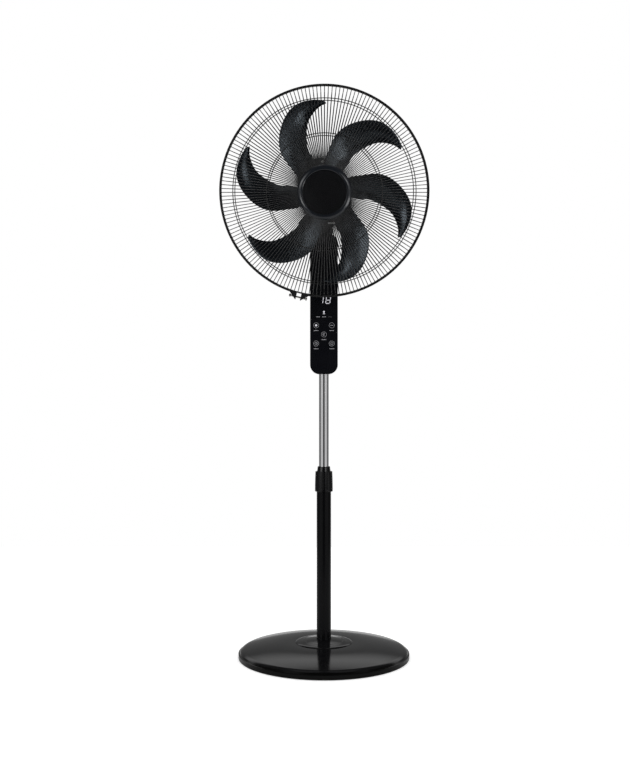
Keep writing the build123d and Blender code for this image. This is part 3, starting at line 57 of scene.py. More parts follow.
# from the head's own frame (right, up, forwards from the fan's centre) to the object's
HEAD = Matrix.Translation(FAN_POINT) @ Matrix((RIGHT, UP_HEAD, FORWARD)).transposed().to_4x4()

# ---------------------------------------------------------------- material tools


class Nodes:
    """A node tree, with short calls for the nodes that repeat."""

    def __init__(self, tree):
        self.tree = tree

    def node(self, kind, **values):
        made = self.tree.nodes.new(kind)
        for name, value in values.items():
            setattr(made, name, value)
        return made

    def link(self, start, end):
        self.tree.links.new(start, end)

    def math(self, operation, *values):
        """A calculation with numbers and outputs of other nodes."""
        made = self.node("ShaderNodeMath", operation=operation)
        for socket, value in zip(made.inputs, values):
            if isinstance(value, (int, float)):
                socket.default_value = value
            else:
                self.link(value, socket)
        return made.outputs["Value"]

    def ramp(self, factor, stops):
        """A colour ramp with (position, grey or colour) stops."""
        made = self.node("ShaderNodeValToRGB")
        elements = made.color_ramp.elements
        for number, (position, value) in enumerate(stops):
            element = elements[number] if number < 2 else elements.new(position)
            element.position = position
            colour = (value,) * 3 if isinstance(value, (int, float)) else value
            element.color = (*colour, 1.0)
        self.link(factor, made.inputs["Fac"])
        return made.outputs["Color"]

    def blend(self, factor, first, second):
        """One colour turning into another; a number stands for a grey."""
        made = self.node("ShaderNodeMix", data_type="RGBA")
        for name, value in (("Factor", factor), ("A", first), ("B", second)):
            if isinstance(value, float):
                made.inputs[name].default_value = (value, value, value, 1.0)
            else:
                self.link(value, made.inputs[name])
        return made.outputs["Result"]


class Shader(Nodes):
    """A material, with short calls for its textures."""

    def __init__(self, name):
        self.material = bpy.data.materials.new(name)
        self.material.use_nodes = True
        super().__init__(self.material.node_tree)
        self.surface = self.tree.nodes["Principled BSDF"]
        self.place = self.node("ShaderNodeTexCoord").outputs["Object"]

    def set(self, **values):
        for name, value in values.items():
            self.surface.inputs[name.replace("_", " ")].default_value = value

    def stretched(self, scale):
        """The object's coordinates, scaled differently along X, Y and Z."""
        mapping = self.node("ShaderNodeMapping")
        mapping.inputs["Scale"].default_value = scale
        self.link(self.place, mapping.inputs["Vector"])
        return mapping.outputs["Vector"]

    def noise(self, scale, detail=2.0, place=None):
        made = self.node("ShaderNodeTexNoise")
        made.inputs["Scale"].default_value = scale
        made.inputs["Detail"].default_value = detail
        self.link(place or self.place, made.inputs["Vector"])
        return made.outputs["Fac"]

    def cells(self, scale, feature="F1"):
        made = self.node("ShaderNodeTexVoronoi", feature=feature)
        made.inputs["Scale"].default_value = scale
        self.link(self.place, made.inputs["Vector"])
        return made.outputs["Distance"]

    def span(self, factor, low, high):
        """A factor of 0 to 1 mapped to low to high."""
        made = self.node("ShaderNodeMapRange")
        made.inputs["To Min"].default_value = low
        made.inputs["To Max"].default_value = high
        self.link(factor, made.inputs["Value"])
        return made.outputs["Result"]

    def bump(self, height, distance, strength=1.0, under=None):
        made = self.node("ShaderNodeBump")
        made.inputs["Distance"].default_value = distance
        made.inputs["Strength"].default_value = strength
        self.link(height, made.inputs["Height"])
        if under is not None:
            self.link(under, made.inputs["Normal"])
        return made.outputs["Normal"]

    def finish(self, colour=None, roughness=None, normal=None):
        """The material, with what varies over its surface linked to the shader."""
        for value, name in ((colour, "Base Color"), (roughness, "Roughness"), (normal, "Normal")):
            if value is not None:
                self.link(value, self.surface.inputs[name])
        return self.material


def moulded(name, low, high, roughness, grain=0.00002, grain_scale=2400.0, ior=1.46):
    """Moulded plastic: a faint tone change, uneven gloss and a fine spark-eroded grain.

    low and high are the tones it wanders between, and roughness holds the two ends of its gloss.
    """
    made = Shader(name)
    made.set(IOR=ior)
    broad = made.noise(9.0, 3.0)
    fine = made.noise(grain_scale, 1.0)
    return made.finish(
        made.ramp(broad, ((0.3, low), (0.7, high))),
        made.span(made.noise(60.0, 4.0), roughness[0], roughness[1]),
        made.bump(fine, grain),
    )


def polished(name, low, high, roughness, ripple=0.00001, ior=1.46):
    """Polished plastic or lacquer: almost flat, with a slow ripple and hairline scuffs."""
    made = Shader(name)
    made.set(IOR=ior)
    slow = made.noise(38.0, 2.0)
    scuffs = made.noise(220.0, 6.0, made.stretched((1.0, 1.0, 0.12)))
    return made.finish(
        made.ramp(slow, ((0.3, low), (0.7, high))),
        made.span(scuffs, roughness[0], roughness[1]),
        made.bump(slow, ripple, 0.5),
    )


def metal(name, low, high, roughness, grain_scale=900.0, grain=0.00001):
    """Bare metal with a fine tumbled grain."""
    made = Shader(name)
    made.set(Metallic=1.0)
    lines = made.noise(grain_scale, 3.0)
    return made.finish(
        made.ramp(made.noise(30.0, 4.0), ((0.25, low), (0.75, high))),
        made.span(lines, roughness[0], roughness[1]),
        made.bump(lines, grain, 0.6),
    )


# ---------------------------------------------------------------- materials

# low, because the fronts of the photo's base and pole are nearly black
LACQUER_IOR = 1.2
LOCK_IOR = 1.32
# what the rim of the base adds to the crown's roughness
RIM_ROUGHNESS = 0.1

gloss_tube = polished(
    "gloss_tube", (0.0025, 0.0025, 0.003), (0.0035, 0.0035, 0.004), (0.14, 0.22), ior=LACQUER_IOR
)
gloss_lock = polished(
    "gloss_lock", (0.0025, 0.0025, 0.003), (0.0035, 0.0035, 0.004), (0.14, 0.24), ior=LOCK_IOR
)
gloss_panel = polished(
    "gloss_panel", (0.004, 0.0042, 0.006), (0.005, 0.0052, 0.007), (0.04, 0.08), 0.000004
)
gloss_badge = polished("gloss_badge", (0.002, 0.0022, 0.003), (0.003, 0.0032, 0.004), (0.2, 0.3))
satin_column = moulded("satin_column", (0.004, 0.004, 0.0045), (0.006, 0.006, 0.0065), (0.32, 0.42))
satin_motor = moulded("satin_motor", (0.005, 0.005, 0.0055), (0.007, 0.007, 0.0075), (0.36, 0.46))
satin_cap = moulded("satin_cap", (0.007, 0.009, 0.012), (0.009, 0.011, 0.015), (0.16, 0.22), 0.00001)
satin_band = moulded("satin_band", (0.004, 0.004, 0.0045), (0.006, 0.006, 0.0065), (0.28, 0.38))
powder_guard = moulded(
    "powder_guard", (0.005, 0.005, 0.0055), (0.008, 0.008, 0.0085), (0.34, 0.46), 0.00003, 1500.0
)
nylon_joint = moulded(
    "nylon_joint", (0.006, 0.006, 0.0065), (0.009, 0.009, 0.0095), (0.48, 0.6), 0.00003, 1800.0
)
nylon_natural = moulded("nylon_natural", (0.62, 0.6, 0.53), (0.7, 0.68, 0.6), (0.42, 0.55))
acetal_gear = moulded("acetal_gear", (0.68, 0.67, 0.63), (0.76, 0.75, 0.71), (0.35, 0.48))
rubber_foot = moulded(
    "rubber_foot", (0.008, 0.008, 0.008), (0.016, 0.016, 0.016), (0.75, 0.88), 0.00006, 1200.0
)
case_grey = moulded("case_grey", (0.03, 0.03, 0.034), (0.045, 0.045, 0.05), (0.4, 0.5))
# pale, so that the rivet and the clip above and below the hub show as painted highlights
painted_glint_pale = moulded("painted_glint_pale", (0.66, 0.66, 0.65), (0.72, 0.72, 0.71), (0.3, 0.4))
zinc_steel = metal("zinc_steel", (0.5, 0.5, 0.48), (0.64, 0.63, 0.6), (0.24, 0.36))
bronze = metal("bronze", (0.42, 0.27, 0.12), (0.55, 0.36, 0.17), (0.36, 0.48), 1600.0)
cast_alloy = metal("cast_alloy", (0.5, 0.51, 0.52), (0.6, 0.61, 0.62), (0.42, 0.58), 420.0, 0.00006)


def lacquered_cover(rim_radius):
    """The base's cover: a glossy crown, and a darker and rougher rim outside it."""
    made = Shader("lacquered_cover")
    made.set(IOR=LACQUER_IOR)
    apart = made.node("ShaderNodeVectorMath", operation="LENGTH")
    made.link(made.stretched((1.0, 1.0, 0.0)), apart.inputs[0])
    rim = made.math("GREATER_THAN", apart.outputs["Value"], rim_radius)
    slow = made.noise(38.0, 2.0)
    crown_tone = made.ramp(slow, ((0.3, (0.004, 0.004, 0.0045)), (0.7, (0.006, 0.006, 0.0065))))
    rim_tone = made.ramp(slow, ((0.3, 0.0018), (0.7, 0.0026)))
    crown_gloss = made.span(made.noise(180.0, 6.0), 0.08, 0.14)
    return made.finish(
        made.blend(rim, crown_tone, rim_tone),
        made.math("MULTIPLY_ADD", rim, RIM_ROUGHNESS, crown_gloss),
        made.bump(slow, 0.00001, 0.5),
    )


def drawn_chrome():
    """Chrome plate on drawn tube, with faint long die lines."""
    made = Shader("drawn_chrome")
    made.set(Metallic=1.0)
    lines = made.noise(700.0, 2.0, made.stretched((1.0, 1.0, 0.004)))
    return made.finish(
        made.ramp(made.noise(14.0, 2.0), ((0.3, (0.7, 0.7, 0.71)), (0.7, (0.76, 0.76, 0.77)))),
        made.span(lines, 0.05, 0.12),
        made.bump(lines, 0.000002, 0.4),
    )


def laminated_steel():
    """The edges of stacked sheets, across the fan's axis."""
    made = Shader("laminated_steel")
    made.set(Metallic=1.0)
    mapping = made.node("ShaderNodeMapping")
    mapping.inputs["Rotation"].default_value = (-LEAN, 0.0, 0.0)
    made.link(made.place, mapping.inputs["Vector"])
    sheets = made.node("ShaderNodeTexWave", bands_direction="Y")
    sheets.inputs["Scale"].default_value = 320.0
    sheets.inputs["Distortion"].default_value = 0.4
    made.link(mapping.outputs["Vector"], sheets.inputs["Vector"])
    edges = sheets.outputs["Fac"]
    return made.finish(
        made.ramp(edges, ((0.2, (0.2, 0.2, 0.21)), (0.8, (0.42, 0.42, 0.43)))),
        made.span(made.noise(500.0), 0.35, 0.55),
        made.bump(edges, 0.00008),
    )


def wound_copper():
    """Enamelled wire, wound round the fan's axis."""
    made = Shader("wound_copper")
    made.set(Metallic=1.0, Coat_Weight=0.6, Coat_Roughness=0.15)
    strands = made.noise(1400.0, 2.0, made.stretched((0.15, 1.0, 0.15)))
    return made.finish(
        made.ramp(strands, ((0.3, (0.4, 0.13, 0.05)), (0.7, (0.72, 0.3, 0.13)))),
        made.span(strands, 0.2, 0.4),
        made.bump(strands, 0.0002),
    )


def solder_mask():
    """A green circuit board with pale tracks."""
    made = Shader("solder_mask")
    tracks = made.node("ShaderNodeTexBrick")
    tracks.inputs["Scale"].default_value = 140.0
    tracks.inputs["Mortar Size"].default_value = 0.03
    tracks.inputs["Color1"].default_value = (0.01, 0.09, 0.035, 1.0)
    tracks.inputs["Color2"].default_value = (0.012, 0.11, 0.045, 1.0)
    tracks.inputs["Mortar"].default_value = (0.05, 0.24, 0.1, 1.0)
    mapping = made.node("ShaderNodeMapping")
    mapping.inputs["Rotation"].default_value = (math.radians(90.0), 0.0, 0.0)
    made.link(made.place, mapping.inputs["Vector"])
    made.link(mapping.outputs["Vector"], tracks.inputs["Vector"])
    return made.finish(
        tracks.outputs["Color"],
        made.span(made.noise(300.0), 0.25, 0.4),
        made.bump(tracks.outputs["Fac"], 0.00004),
    )


def cast_concrete():
    """The counterweight's grey concrete with pores."""
    made = Shader("cast_concrete")
    pores = made.cells(260.0)
    sand = made.noise(700.0, 5.0)
    return made.finish(
        made.ramp(sand, ((0.3, (0.24, 0.23, 0.22)), (0.7, (0.42, 0.41, 0.39)))),
        made.span(sand, 0.8, 0.95),
        made.bump(pores, 0.0006, 0.6, made.bump(sand, 0.0003)),
    )


def blade_plastic():
    """The blade's blue-black plastic, with a hammered texture that catches the light."""
    made = Shader("blade_plastic")
    made.set(IOR=1.62, Specular_Tint=(0.78, 0.9, 1.0, 1.0))
    dents = made.cells(230.0, "SMOOTH_F1")
    wander = made.noise(26.0, 4.0)
    return made.finish(
        made.ramp(wander, ((0.3, (0.0025, 0.003, 0.0045)), (0.7, (0.0045, 0.0055, 0.0075)))),
        made.span(made.noise(140.0, 3.0), 0.18, 0.28),
        made.bump(dents, 0.0004, 0.5, made.bump(wander, 0.0008, 0.5)),
    )


def lit_and_painted_glow_marks(name, colour, strength):
    """Printed or lit marks on the panel's face. The lit ones glow as the display does; on the printed ones
    the glow is painted light.
    """
    made = Shader(name)
    glow = made.ramp(made.noise(400.0), ((0.3, colour), (0.7, tuple(c * 1.08 for c in colour))))
    made.link(glow, made.surface.inputs["Emission Color"])
    made.set(Emission_Strength=strength, Roughness=0.4)
    return made.finish(glow)


chrome = drawn_chrome()
steel_sheets = laminated_steel()
copper = wound_copper()
board = solder_mask()
concrete = cast_concrete()
blade_black = blade_plastic()
digit_light = lit_and_painted_glow_marks("digit_light", (0.4, 0.4, 0.43), 1.0)
# the printed marks below glow faintly: painted light, as print gives off none
print_grey_painted_glow = lit_and_painted_glow_marks("print_grey_painted_glow", (0.32, 0.32, 0.34), 0.18)
print_faint_painted_glow = lit_and_painted_glow_marks("print_faint_painted_glow", (0.05, 0.05, 0.055), 0.1)
base_black = lacquered_cover(RIM_INNER)

DRESS = {
    base_black: ("base_cover",),
    concrete: ("base_weight",),
    rubber_foot: ("base_feet", "cord_inlet"),
    zinc_steel: (
        "base_washer", "base_bolt", "tube_plug", "board_screws", "column_screws", "tube_screw",
        "tilt_pin", "tilt_pin_nut", "swing_pin", "swing_circlip", "housing_screws", "motor_bolts",
        "swing_motor", "band_screw", "band_nut", "motor_shaft", "drive_pin",
    ),
    gloss_tube: ("outer_tube",),
    gloss_lock: ("height_collet", "height_collar"),
    chrome: ("inner_tube",),
    nylon_natural: ("tube_stop_bush", "thrust_washer"),
    satin_column: ("column_front_shell", "column_rear_shell"),
    gloss_panel: ("touch_panel",),
    board: ("control_board", "power_board"),
    case_grey: ("display_module", "motor_capacitor"),
    bronze: ("touch_pads", "motor_bearings", "swing_bush"),
    nylon_joint: ("tilt_fork", "swing_neck"),
    acetal_gear: ("swing_gear", "swing_pinion"),
    satin_motor: ("motor_housing", "motor_front_plate", "guard_ring_nut"),
    cast_alloy: ("front_shield", "rear_shield"),
    steel_sheets: ("stator_core", "rotor_core"),
    copper: ("motor_windings",),
    powder_guard: (
        "rear_guard_disc", "rear_guard_rings", "rear_guard_spokes",
        "front_guard_disc", "front_guard_rings", "front_guard_spokes",
    ),
    satin_band: ("guard_band",),
    satin_cap: ("cap_ring",),
    gloss_badge: ("cap_badge",),
    blade_black: ("fan_blade", "spinner_nut"),
}
for material, names in DRESS.items():
    for name in names:
        slots = NODES[name].data.materials
        slots.clear()
        slots.append(material)

# ---------------------------------------------------------------- mesh tools


def piece(name, work, place, body, material, smooth=False):
    """A finished mesh, put in its place, as a visible piece that rides on a body."""
    work.transform(place)
    bmesh.ops.recalc_face_normals(work, faces=work.faces)
    mesh = bpy.data.meshes.new(name)
    work.to_mesh(mesh)
    work.free()
    for face in mesh.polygons:
        face.use_smooth = smooth
    made = bpy.data.objects.new(name, mesh)
    bpy.context.scene.collection.objects.link(made)
    made.data.materials.append(material)
    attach(made, body)


def join(work, loops, closed=False):
    """Faces between neighbouring loops of vertices, and from the last to the first if closed."""
    for here, there in zip(loops, loops[1:] + loops[:1] if closed else loops[1:]):
        for number in range(len(here)):
            after = (number + 1) % len(here)
            work.faces.new((here[number], here[after], there[after], there[number]))


def cap(work, loops):
    """A face over the first loop, and one over the last."""
    work.faces.new(loops[0])
    work.faces.new(reversed(loops[-1]))


def circle(centre, radius, steps):
    """Points round a centre, as pairs."""
    turns = [2 * math.pi * number / steps for number in range(steps)]
    return [(centre[0] + radius * math.cos(turn), centre[1] + radius * math.sin(turn)) for turn in turns]


# ---------------------------------------------------------------- marks on the panel

# The marks are drawn in millimetres: x across and z up from the middle of the panel's foot, and y
# into the panel from its face.
panel_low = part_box("touch_panel")[0]
PANEL = Matrix.Translation((0.0, panel_low.y, panel_low.z)) @ Matrix.Scale(MM, 4)
MARK_FRONT = -0.12
MARK_BACK = 0.1
DIGIT_SLANT = 0.16
DIGIT_WIDTH = 9.2
DIGIT_HEIGHT = 14.6
DIGIT_BOTTOM = 158.3
SEGMENT = 1.7
SEGMENT_GAP = 0.45
SEGMENT_POINT = 0.68
# each stroke of a digit: share of its width and of its height, and whether the stroke lies flat
STROKES = {
    "top": (0.5, 1.0, True),
    "middle": (0.5, 0.5, True),
    "bottom": (0.5, 0.0, True),
    "upper_left": (0.0, 0.75, False),
    "upper_right": (1.0, 0.75, False),
    "lower_left": (0.0, 0.25, False),
    "lower_right": (1.0, 0.25, False),
}
# the left edge and the lit strokes of the 1 and of the 8
DIGITS = (
    (-11.1, ("upper_right", "lower_right")),
    (4.8, tuple(STROKES)),
)
FAN_SIGN_BOTTOM = 134.45
STATUS_HEIGHT = 128.3
STATUS_X = (-13.4, 0.2, 13.4)
KEY_X = 17.5
KEY_RADIUS = 6.1
KEY_LINE = 0.55
BRIGHT_KEY = (-KEY_X, 109.3)
SWING_KEY = (KEY_X, 109.3)
MODE_KEY = (0.0, 89.0)
TIMER_KEY = (-KEY_X, 68.6)
POWER_KEY = (KEY_X, 68.6)
WORD_DROP = 11.7
WORD_HEIGHT = 1.5


def prism(work, outline):
    """A flat plate from an outline of (x, z) points."""
    sides = [[work.verts.new((x, y, z)) for x, z in outline] for y in (MARK_FRONT, MARK_BACK)]
    join(work, sides)
    cap(work, sides)


def hoop(work, centre, outer, inner, start=0.0, sweep=360.0, steps=32):
    """A flat ring, or part of one."""
    whole = sweep >= 360.0
    section = ((outer, MARK_FRONT), (inner, MARK_FRONT), (inner, MARK_BACK), (outer, MARK_BACK))
    loops = []
    for number in range(steps if whole else steps + 1):
        angle = math.radians(start + sweep * number / steps)
        across, up = math.cos(angle), math.sin(angle)
        loops.append([
            work.verts.new((centre[0] + radius * across, y, centre[1] + radius * up)) for radius, y in section
        ])
    join(work, loops, closed=whole)
    if not whole:
        cap(work, loops)


def disc(work, centre, radius, steps=24):
    prism(work, circle(centre, radius, steps))


def bar(work, centre, width, height, slant=0.0):
    """A small plate, leaning to the right by slant times its height."""
    x, z = centre
    side, rise = width / 2, height / 2
    lean = slant * rise
    prism(work, (
        (x - side - lean, z - rise), (x + side - lean, z - rise),
        (x + side + lean, z + rise), (x - side + lean, z + rise),
    ))


def word(work, x, z, strokes, pitch, width):
    """A row of short strokes, in place of a word."""
    for number in range(strokes):
        bar(work, (x + (number - (strokes - 1) / 2) * pitch, z), width, WORD_HEIGHT)


def status_word(work, x):
    word(work, x, STATUS_HEIGHT, 3, 2.9, 2.1)


def digit(work, left, lit):
    """The lit strokes of one leaning seven-segment digit."""
    end = (DIGIT_WIDTH - SEGMENT) / 2 - SEGMENT_GAP
    tip = end + SEGMENT_POINT
    rise = SEGMENT / 2
    length = (DIGIT_HEIGHT - SEGMENT) / 2 - 2 * SEGMENT_GAP
    for name in lit:
        across, up, flat = STROKES[name]
        x = left + across * DIGIT_WIDTH + DIGIT_SLANT * (up - 0.5) * DIGIT_HEIGHT
        z = DIGIT_BOTTOM + up * DIGIT_HEIGHT
        if flat:
            prism(work, (
                (x - tip, z), (x - end, z - rise), (x + end, z - rise),
                (x + tip, z), (x + end, z + rise), (x - end, z + rise),
            ))
        else:
            bar(work, (x, z), SEGMENT, length, DIGIT_SLANT)


def mark_piece(name, work, material):
    piece(name, work, PANEL, "column", material)


def panel_digits():
    work = bmesh.new()
    for left, lit in DIGITS:
        digit(work, left, lit)
    mark_piece("panel_digits", work, digit_light)


def panel_print():
    """The rings, words and signs that are printed: all keys' rings, and four of their signs, with a faint
    painted glow.
    """
    work = bmesh.new()
    for x, z in (BRIGHT_KEY, SWING_KEY, MODE_KEY, TIMER_KEY, POWER_KEY):
        hoop(work, (x, z), KEY_RADIUS, KEY_RADIUS - KEY_LINE)
        word(work, x, z - WORD_DROP, 4, 2.7, 1.9)
    for x in STATUS_X[:2]:
        status_word(work, x)
    # a bar across, for the swing
    bar(work, SWING_KEY, 6.4, 1.0)
    # an open hook round a dot, for the mode
    hoop(work, MODE_KEY, 2.9, 2.1, 20.0, 280.0, 20)
    disc(work, MODE_KEY, 0.9, 12)
    # a clock
    x, z = TIMER_KEY
    hoop(work, TIMER_KEY, 3.1, 2.4, steps=20)
    bar(work, (x, z + 0.9), 0.6, 1.9)
    bar(work, (x + 0.8, z), 1.7, 0.6)
    # a broken ring with a stroke through its gap
    x, z = POWER_KEY
    hoop(work, POWER_KEY, 3.1, 2.4, 125.0, 290.0, 20)
    bar(work, (x, z + 2.3), 0.8, 3.4)
    mark_piece("panel_print", work, print_grey_painted_glow)


def panel_lit_signs():
    """The dot of the brightest key, and the sign of a fan above the status words."""
    work = bmesh.new()
    disc(work, BRIGHT_KEY, 2.3)
    disc(work, (0.0, FAN_SIGN_BOTTOM + 5.15), 2.0)
    bar(work, (0.0, FAN_SIGN_BOTTOM + 2.15), 1.1, 2.6)
    bar(work, (0.0, FAN_SIGN_BOTTOM + 0.55), 4.8, 1.1)
    mark_piece("panel_lit_signs", work, digit_light)


# the status word that is off, with a fainter painted glow
def panel_unlit_sign():
    work = bmesh.new()
    status_word(work, STATUS_X[2])
    mark_piece("panel_unlit_sign", work, print_faint_painted_glow)


panel_digits()
panel_print()
panel_lit_signs()
panel_unlit_sign()

# ---------------------------------------------------------------- clips on the rear guard's disc, pale as painted highlights

# The clips are drawn in millimetres in the head's frame.
HEAD_MM = HEAD @ Matrix.Scale(MM, 4)
CLIP_RADIUS = 66.5
CLIP_REACH = 4.0
# how far the wires that carry the clips stand in front of the disc
WIRE_RISE = 2.9
RIVET_X = -3.0
RIVET_STEPS = 28
# radius and height, from the rivet's seat to its top
RIVET_PROFILE = ((0.0, 0.0), (2.9, 0.0), (3.0, 0.3), (2.7, 1.0), (2.0, 1.6), (1.0, 1.95), (0.0, 2.05))
STRIP_WIDTH = 3.6
STRIP_THICKNESS = 0.6
# x and height, from the strip's left end to its right end
STRIP_LINE = (
    (8.6, 0.0), (9.2, 1.0), (10.4, 1.5), (13.0, 1.7), (17.0, 1.8), (21.0, 1.7), (23.4, 1.5), (24.6, 1.0),
    (25.2, 0.0),
)


def head_depth(node, low, high):
    """How far forward a node reaches in the head's frame, between two radii from the fan's axis."""
    to_head = HEAD_MM.inverted()
    places = [to_head @ vertex.co for vertex in NODES[node].data.vertices]
    return max(place.z for place in places if low < math.hypot(place.x, place.y) < high)


WIRE_FACE = head_depth("rear_guard_disc", CLIP_RADIUS - CLIP_REACH, CLIP_RADIUS + CLIP_REACH) + WIRE_RISE


def glint_rivet():
    """The round-headed rivet above the hub; its pale colour is a painted highlight."""
    work = bmesh.new()
    centre = (RIVET_X, CLIP_RADIUS)
    seat, top = RIVET_PROFILE[0][1], RIVET_PROFILE[-1][1]
    foot, tip = (work.verts.new((*centre, WIRE_FACE + height)) for height in (seat, top))
    loops = [
        [work.verts.new((x, y, WIRE_FACE + height)) for x, y in circle(centre, radius, RIVET_STEPS)]
        for radius, height in RIVET_PROFILE[1:-1]
    ]
    join(work, loops)
    for end, loop in ((foot, loops[0]), (tip, loops[-1])):
        for number in range(RIVET_STEPS):
            work.faces.new((end, loop[number], loop[(number + 1) % RIVET_STEPS]))
    piece("glint_rivet", work, HEAD_MM, "head", painted_glint_pale, smooth=True)


def glint_clip():
    """The sprung strip below the hub, a low arch on the wires; its pale colour is a painted highlight."""
    work = bmesh.new()
    section = ((-1, 0.0), (1, 0.0), (1, STRIP_THICKNESS), (-1, STRIP_THICKNESS))
    loops = [
        [
            work.verts.new((x, -CLIP_RADIUS + side * STRIP_WIDTH / 2, WIRE_FACE + rise + lift))
            for side, lift in section
        ]
        for x, rise in STRIP_LINE
    ]
    join(work, loops)
    cap(work, loops)
    piece("glint_clip", work, HEAD_MM, "head", painted_glint_pale)


glint_rivet()
glint_clip()

# ---------------------------------------------------------------- rounded edge of the base's dome

DOME_FOOT = 64.2 * MM
EDGE_WIDTH = 22.0 * MM
EDGE_STEPS = 192
# share of the width from the inner edge, and height above the cover in mm: over the top, then back
# underneath
EDGE_PROFILE = (
    (0.0, -0.02), (0.12, 0.02), (0.28, 0.14), (0.45, 0.42), (0.6, 0.82), (0.73, 1.18), (0.84, 1.36),
    (0.92, 1.15), (0.97, 0.66), (1.0, -0.1), (0.9, -0.4), (0.1, -0.4),
)


def cover_heights():
    """The top of the base's cover at each ring of its mesh, as sorted pairs of radius and height."""
    tops = {}
    for vertex in NODES["base_cover"].data.vertices:
        radius = round(math.hypot(vertex.co.x, vertex.co.y), 4)
        tops[radius] = max(tops.get(radius, 0.0), vertex.co.z)
    return sorted(tops.items())


def height_at(rings, radius):
    """The cover's top between two rings of its mesh."""
    for (inner, low), (outer, high) in zip(rings, rings[1:]):
        if inner <= radius <= outer:
            return low + (high - low) * (radius - inner) / (outer - inner)
    return rings[-1][1]


def dome_edge():
    """A fuller edge on the dome: it leaves the dome's top flush and rolls down steeply to the crown."""
    rings = cover_heights()
    work = bmesh.new()
    loops = []
    for share, rise in EDGE_PROFILE:
        radius = DOME_FOOT - EDGE_WIDTH * (1.0 - share)
        height = height_at(rings, radius) + rise * MM
        loops.append([work.verts.new((x, y, height)) for x, y in circle((0.0, 0.0), radius, EDGE_STEPS)])
    join(work, loops, closed=True)
    piece("dome_edge", work, Matrix.Identity(4), "stand", base_black, smooth=True)


dome_edge()

# ---------------------------------------------------------------- floor

WHITE = (1.0, 1.0, 1.0, 1.0)
# what the floor gives off to the camera alone, so that it reads white there
FLOOR_LIFT = 0.5
FLOOR_SIZE = 1.3
FLOOR_BACK = 0.25


def floor_material():
    """A pale floor that reads white to the camera and keeps the object's shadow."""
    made = Shader("pale_floor")
    made.set(Roughness=0.9, Specular_IOR_Level=0.0, Emission_Color=WHITE)
    paths = made.node("ShaderNodeLightPath")
    lift = made.math("MULTIPLY", paths.outputs["Is Camera Ray"], FLOOR_LIFT)
    made.link(lift, made.surface.inputs["Emission Strength"])
    return made.finish(made.ramp(made.noise(3.0, 3.0), ((0.3, 0.8), (0.7, 0.82))))


def stage_floor():
    work = bmesh.new()
    bmesh.ops.create_grid(work, x_segments=1, y_segments=1, size=FLOOR_SIZE)
    bmesh.ops.translate(work, verts=work.verts, vec=(0.0, FLOOR_BACK, 0.0))
    mesh = bpy.data.meshes.new("stage_floor")
    work.to_mesh(mesh)
    work.free()
    floor = bpy.data.objects.new("stage_floor", mesh)
    bpy.context.scene.collection.objects.link(floor)
    floor.data.materials.append(floor_material())


stage_floor()

# ---------------------------------------------------------------- studio

# The camera sees white all round. Reflections see a dark front, grey sides, a grey back wall that is
# white straight behind the object, a dim ceiling, a bright window high in the back, and soft screens.
WALL = ((0.0, 0.02), (0.1, 0.03), (0.2, 0.06), (0.45, 0.12), (0.75, 0.2), (0.86, 0.27), (1.0, 0.27))
CEILING = ((0.42, 0.0), (0.5, 1.0), (0.76, 1.0), (0.8, 0.0))
CEILING_LIGHT = 0.12
WINDOW = ((0.745, 0.0), (0.775, 1.0), (0.82, 1.0), (0.875, 0.0))
WINDOW_LIGHT = 1.6
SCREEN_EDGE = ((0.42, 1.0), (0.58, 0.0))
# centre and half size in degrees round and up, and strength
SCREENS = (
    ((48.0, -5.0), (29.0, 11.0), 0.62),
    ((-48.0, -5.0), (29.0, 11.0), 0.62),
    ((33.0, 8.5), (12.0, 4.5), 5.0),
    ((64.0, -24.0), (26.0, 8.0), 5.0),
    ((-34.0, -20.5), (17.0, 5.5), 5.0),
    ((-47.0, 12.0), (17.0, 8.0), 4.0),
    # the white behind the object, from either side of the seam
    ((180.0, -9.0), (18.0, 10.5), 1.0),
    ((-180.0, -9.0), (18.0, 10.5), 1.0),
)
SOFT_LIGHT = 0.75

world = bpy.data.worlds.new("studio")
bpy.context.scene.world = world
world.use_nodes = True
studio = Nodes(world.node_tree)
studio.tree.nodes.clear()

direction = studio.node("ShaderNodeSeparateXYZ")
studio.link(studio.node("ShaderNodeTexCoord").outputs["Generated"], direction.inputs["Vector"])
to_front = studio.math("MULTIPLY", direction.outputs["Y"], -1.0)
# the way round from the front, positive to the right, and the height above the horizon, in radians
azimuth = studio.math("ARCTAN2", direction.outputs["X"], to_front)
elevation = studio.math("ARCSINE", direction.outputs["Z"])
# 0 towards the front of the room, 1 towards the back
turn = studio.math("DIVIDE", studio.math("ABSOLUTE", azimuth), math.pi)
# 0 at the front horizon, 0.5 overhead, 1 at the back horizon
over = studio.math("DIVIDE", studio.math("ARCTAN2", direction.outputs["Z"], to_front), math.pi)


def studio_screen(behind, centre, reach, strength):
    """A soft-edged screen over what is behind it; centre and reach are degrees round and up."""
    apart = [
        studio.math(
            "DIVIDE",
            studio.math("ABSOLUTE", studio.math("SUBTRACT", angle, math.radians(middle))),
            math.radians(half),
        )
        for angle, middle, half in zip((azimuth, elevation), centre, reach)
    ]
    inside = studio.ramp(studio.math("MULTIPLY", studio.math("MAXIMUM", *apart), 0.5), SCREEN_EDGE)
    return studio.blend(inside, behind, strength)


def studio_light(strength):
    """A plain white surround."""
    made = studio.node("ShaderNodeBackground")
    made.inputs["Color"].default_value = WHITE
    made.inputs["Strength"].default_value = strength
    return made


def studio_choice(factor, first, second):
    made = studio.node("ShaderNodeMixShader")
    studio.link(factor, made.inputs["Fac"])
    studio.link(first, made.inputs[1])
    studio.link(second, made.inputs[2])
    return made.outputs["Shader"]


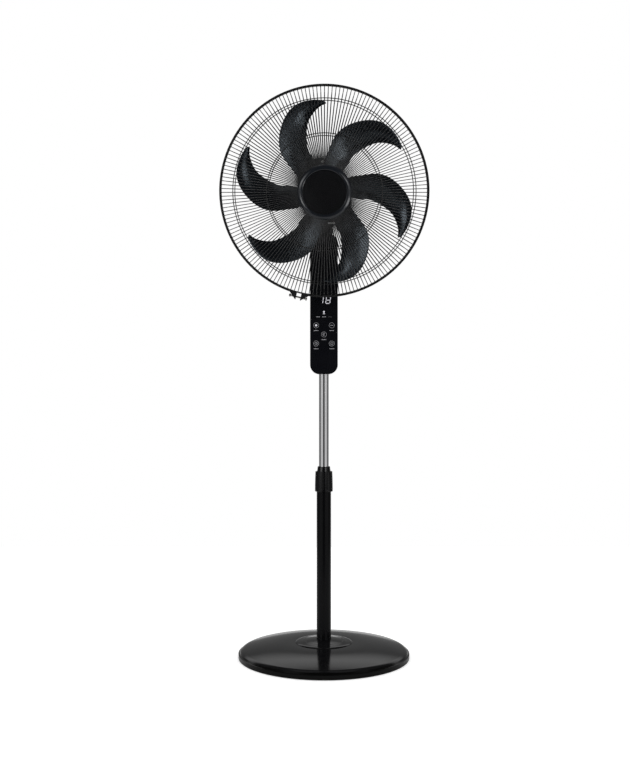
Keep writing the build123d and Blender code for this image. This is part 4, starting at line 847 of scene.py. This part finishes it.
room = studio.blend(studio.ramp(over, CEILING), studio.ramp(turn, WALL), CEILING_LIGHT)
room = studio.blend(studio.ramp(over, WINDOW), room, WINDOW_LIGHT)
for centre, reach, strength in SCREENS:
    room = studio_screen(room, centre, reach, strength)
mirrored = studio_light(1.0)
studio.link(room, mirrored.inputs["Color"])

paths = studio.node("ShaderNodeLightPath")
seen = studio.math("MAXIMUM", paths.outputs["Is Camera Ray"], paths.outputs["Is Transmission Ray"])
lighting = studio_choice(
    paths.outputs["Is Glossy Ray"],
    studio_light(SOFT_LIGHT).outputs["Background"],
    mirrored.outputs["Background"],
)
everything = studio_choice(seen, lighting, studio_light(1.0).outputs["Background"])
studio.link(everything, studio.node("ShaderNodeOutputWorld").inputs["Surface"])

# ---------------------------------------------------------------- lamps

AIM = Vector((0.0, 0.0, 0.7))
# name, place, width, height and power in watts
LAMPS = (
    ("key_left", (-2.6, -2.2, 2.4), 1.6, 1.8, 6.0),
    ("fill_right", (2.8, -2.0, 2.0), 1.6, 1.8, 5.0),
    ("top", (0.0, 0.4, 3.6), 2.4, 2.4, 9.0),
)


def soft_box(name, place, width, height, watts):
    lamp = bpy.data.lights.new(name, "AREA")
    lamp.shape = "RECTANGLE"
    lamp.size = width
    lamp.size_y = height
    lamp.energy = watts
    made = bpy.data.objects.new(name, lamp)
    bpy.context.scene.collection.objects.link(made)
    made.location = place
    made.rotation_euler = (AIM - Vector(place)).to_track_quat("-Z", "Y").to_euler()


for values in LAMPS:
    soft_box(*values)

# ---------------------------------------------------------------- camera

SENSOR = 36.0
FOCAL_PIXELS = 1050.0
FRAME_HEIGHT = 760.0
CAMERA_PLACE = (-0.020, -2.373, 0.625)

camera = bpy.data.cameras.new("camera")
camera.sensor_width = SENSOR
camera.lens = SENSOR * FOCAL_PIXELS / FRAME_HEIGHT
viewer = bpy.data.objects.new("camera", camera)
bpy.context.scene.collection.objects.link(viewer)
viewer.location = CAMERA_PLACE
viewer.rotation_euler = (math.radians(90.0), 0.0, 0.0)  # level, towards +Y
bpy.context.scene.camera = viewer
bpy.context.scene.view_settings.view_transform = "Standard"
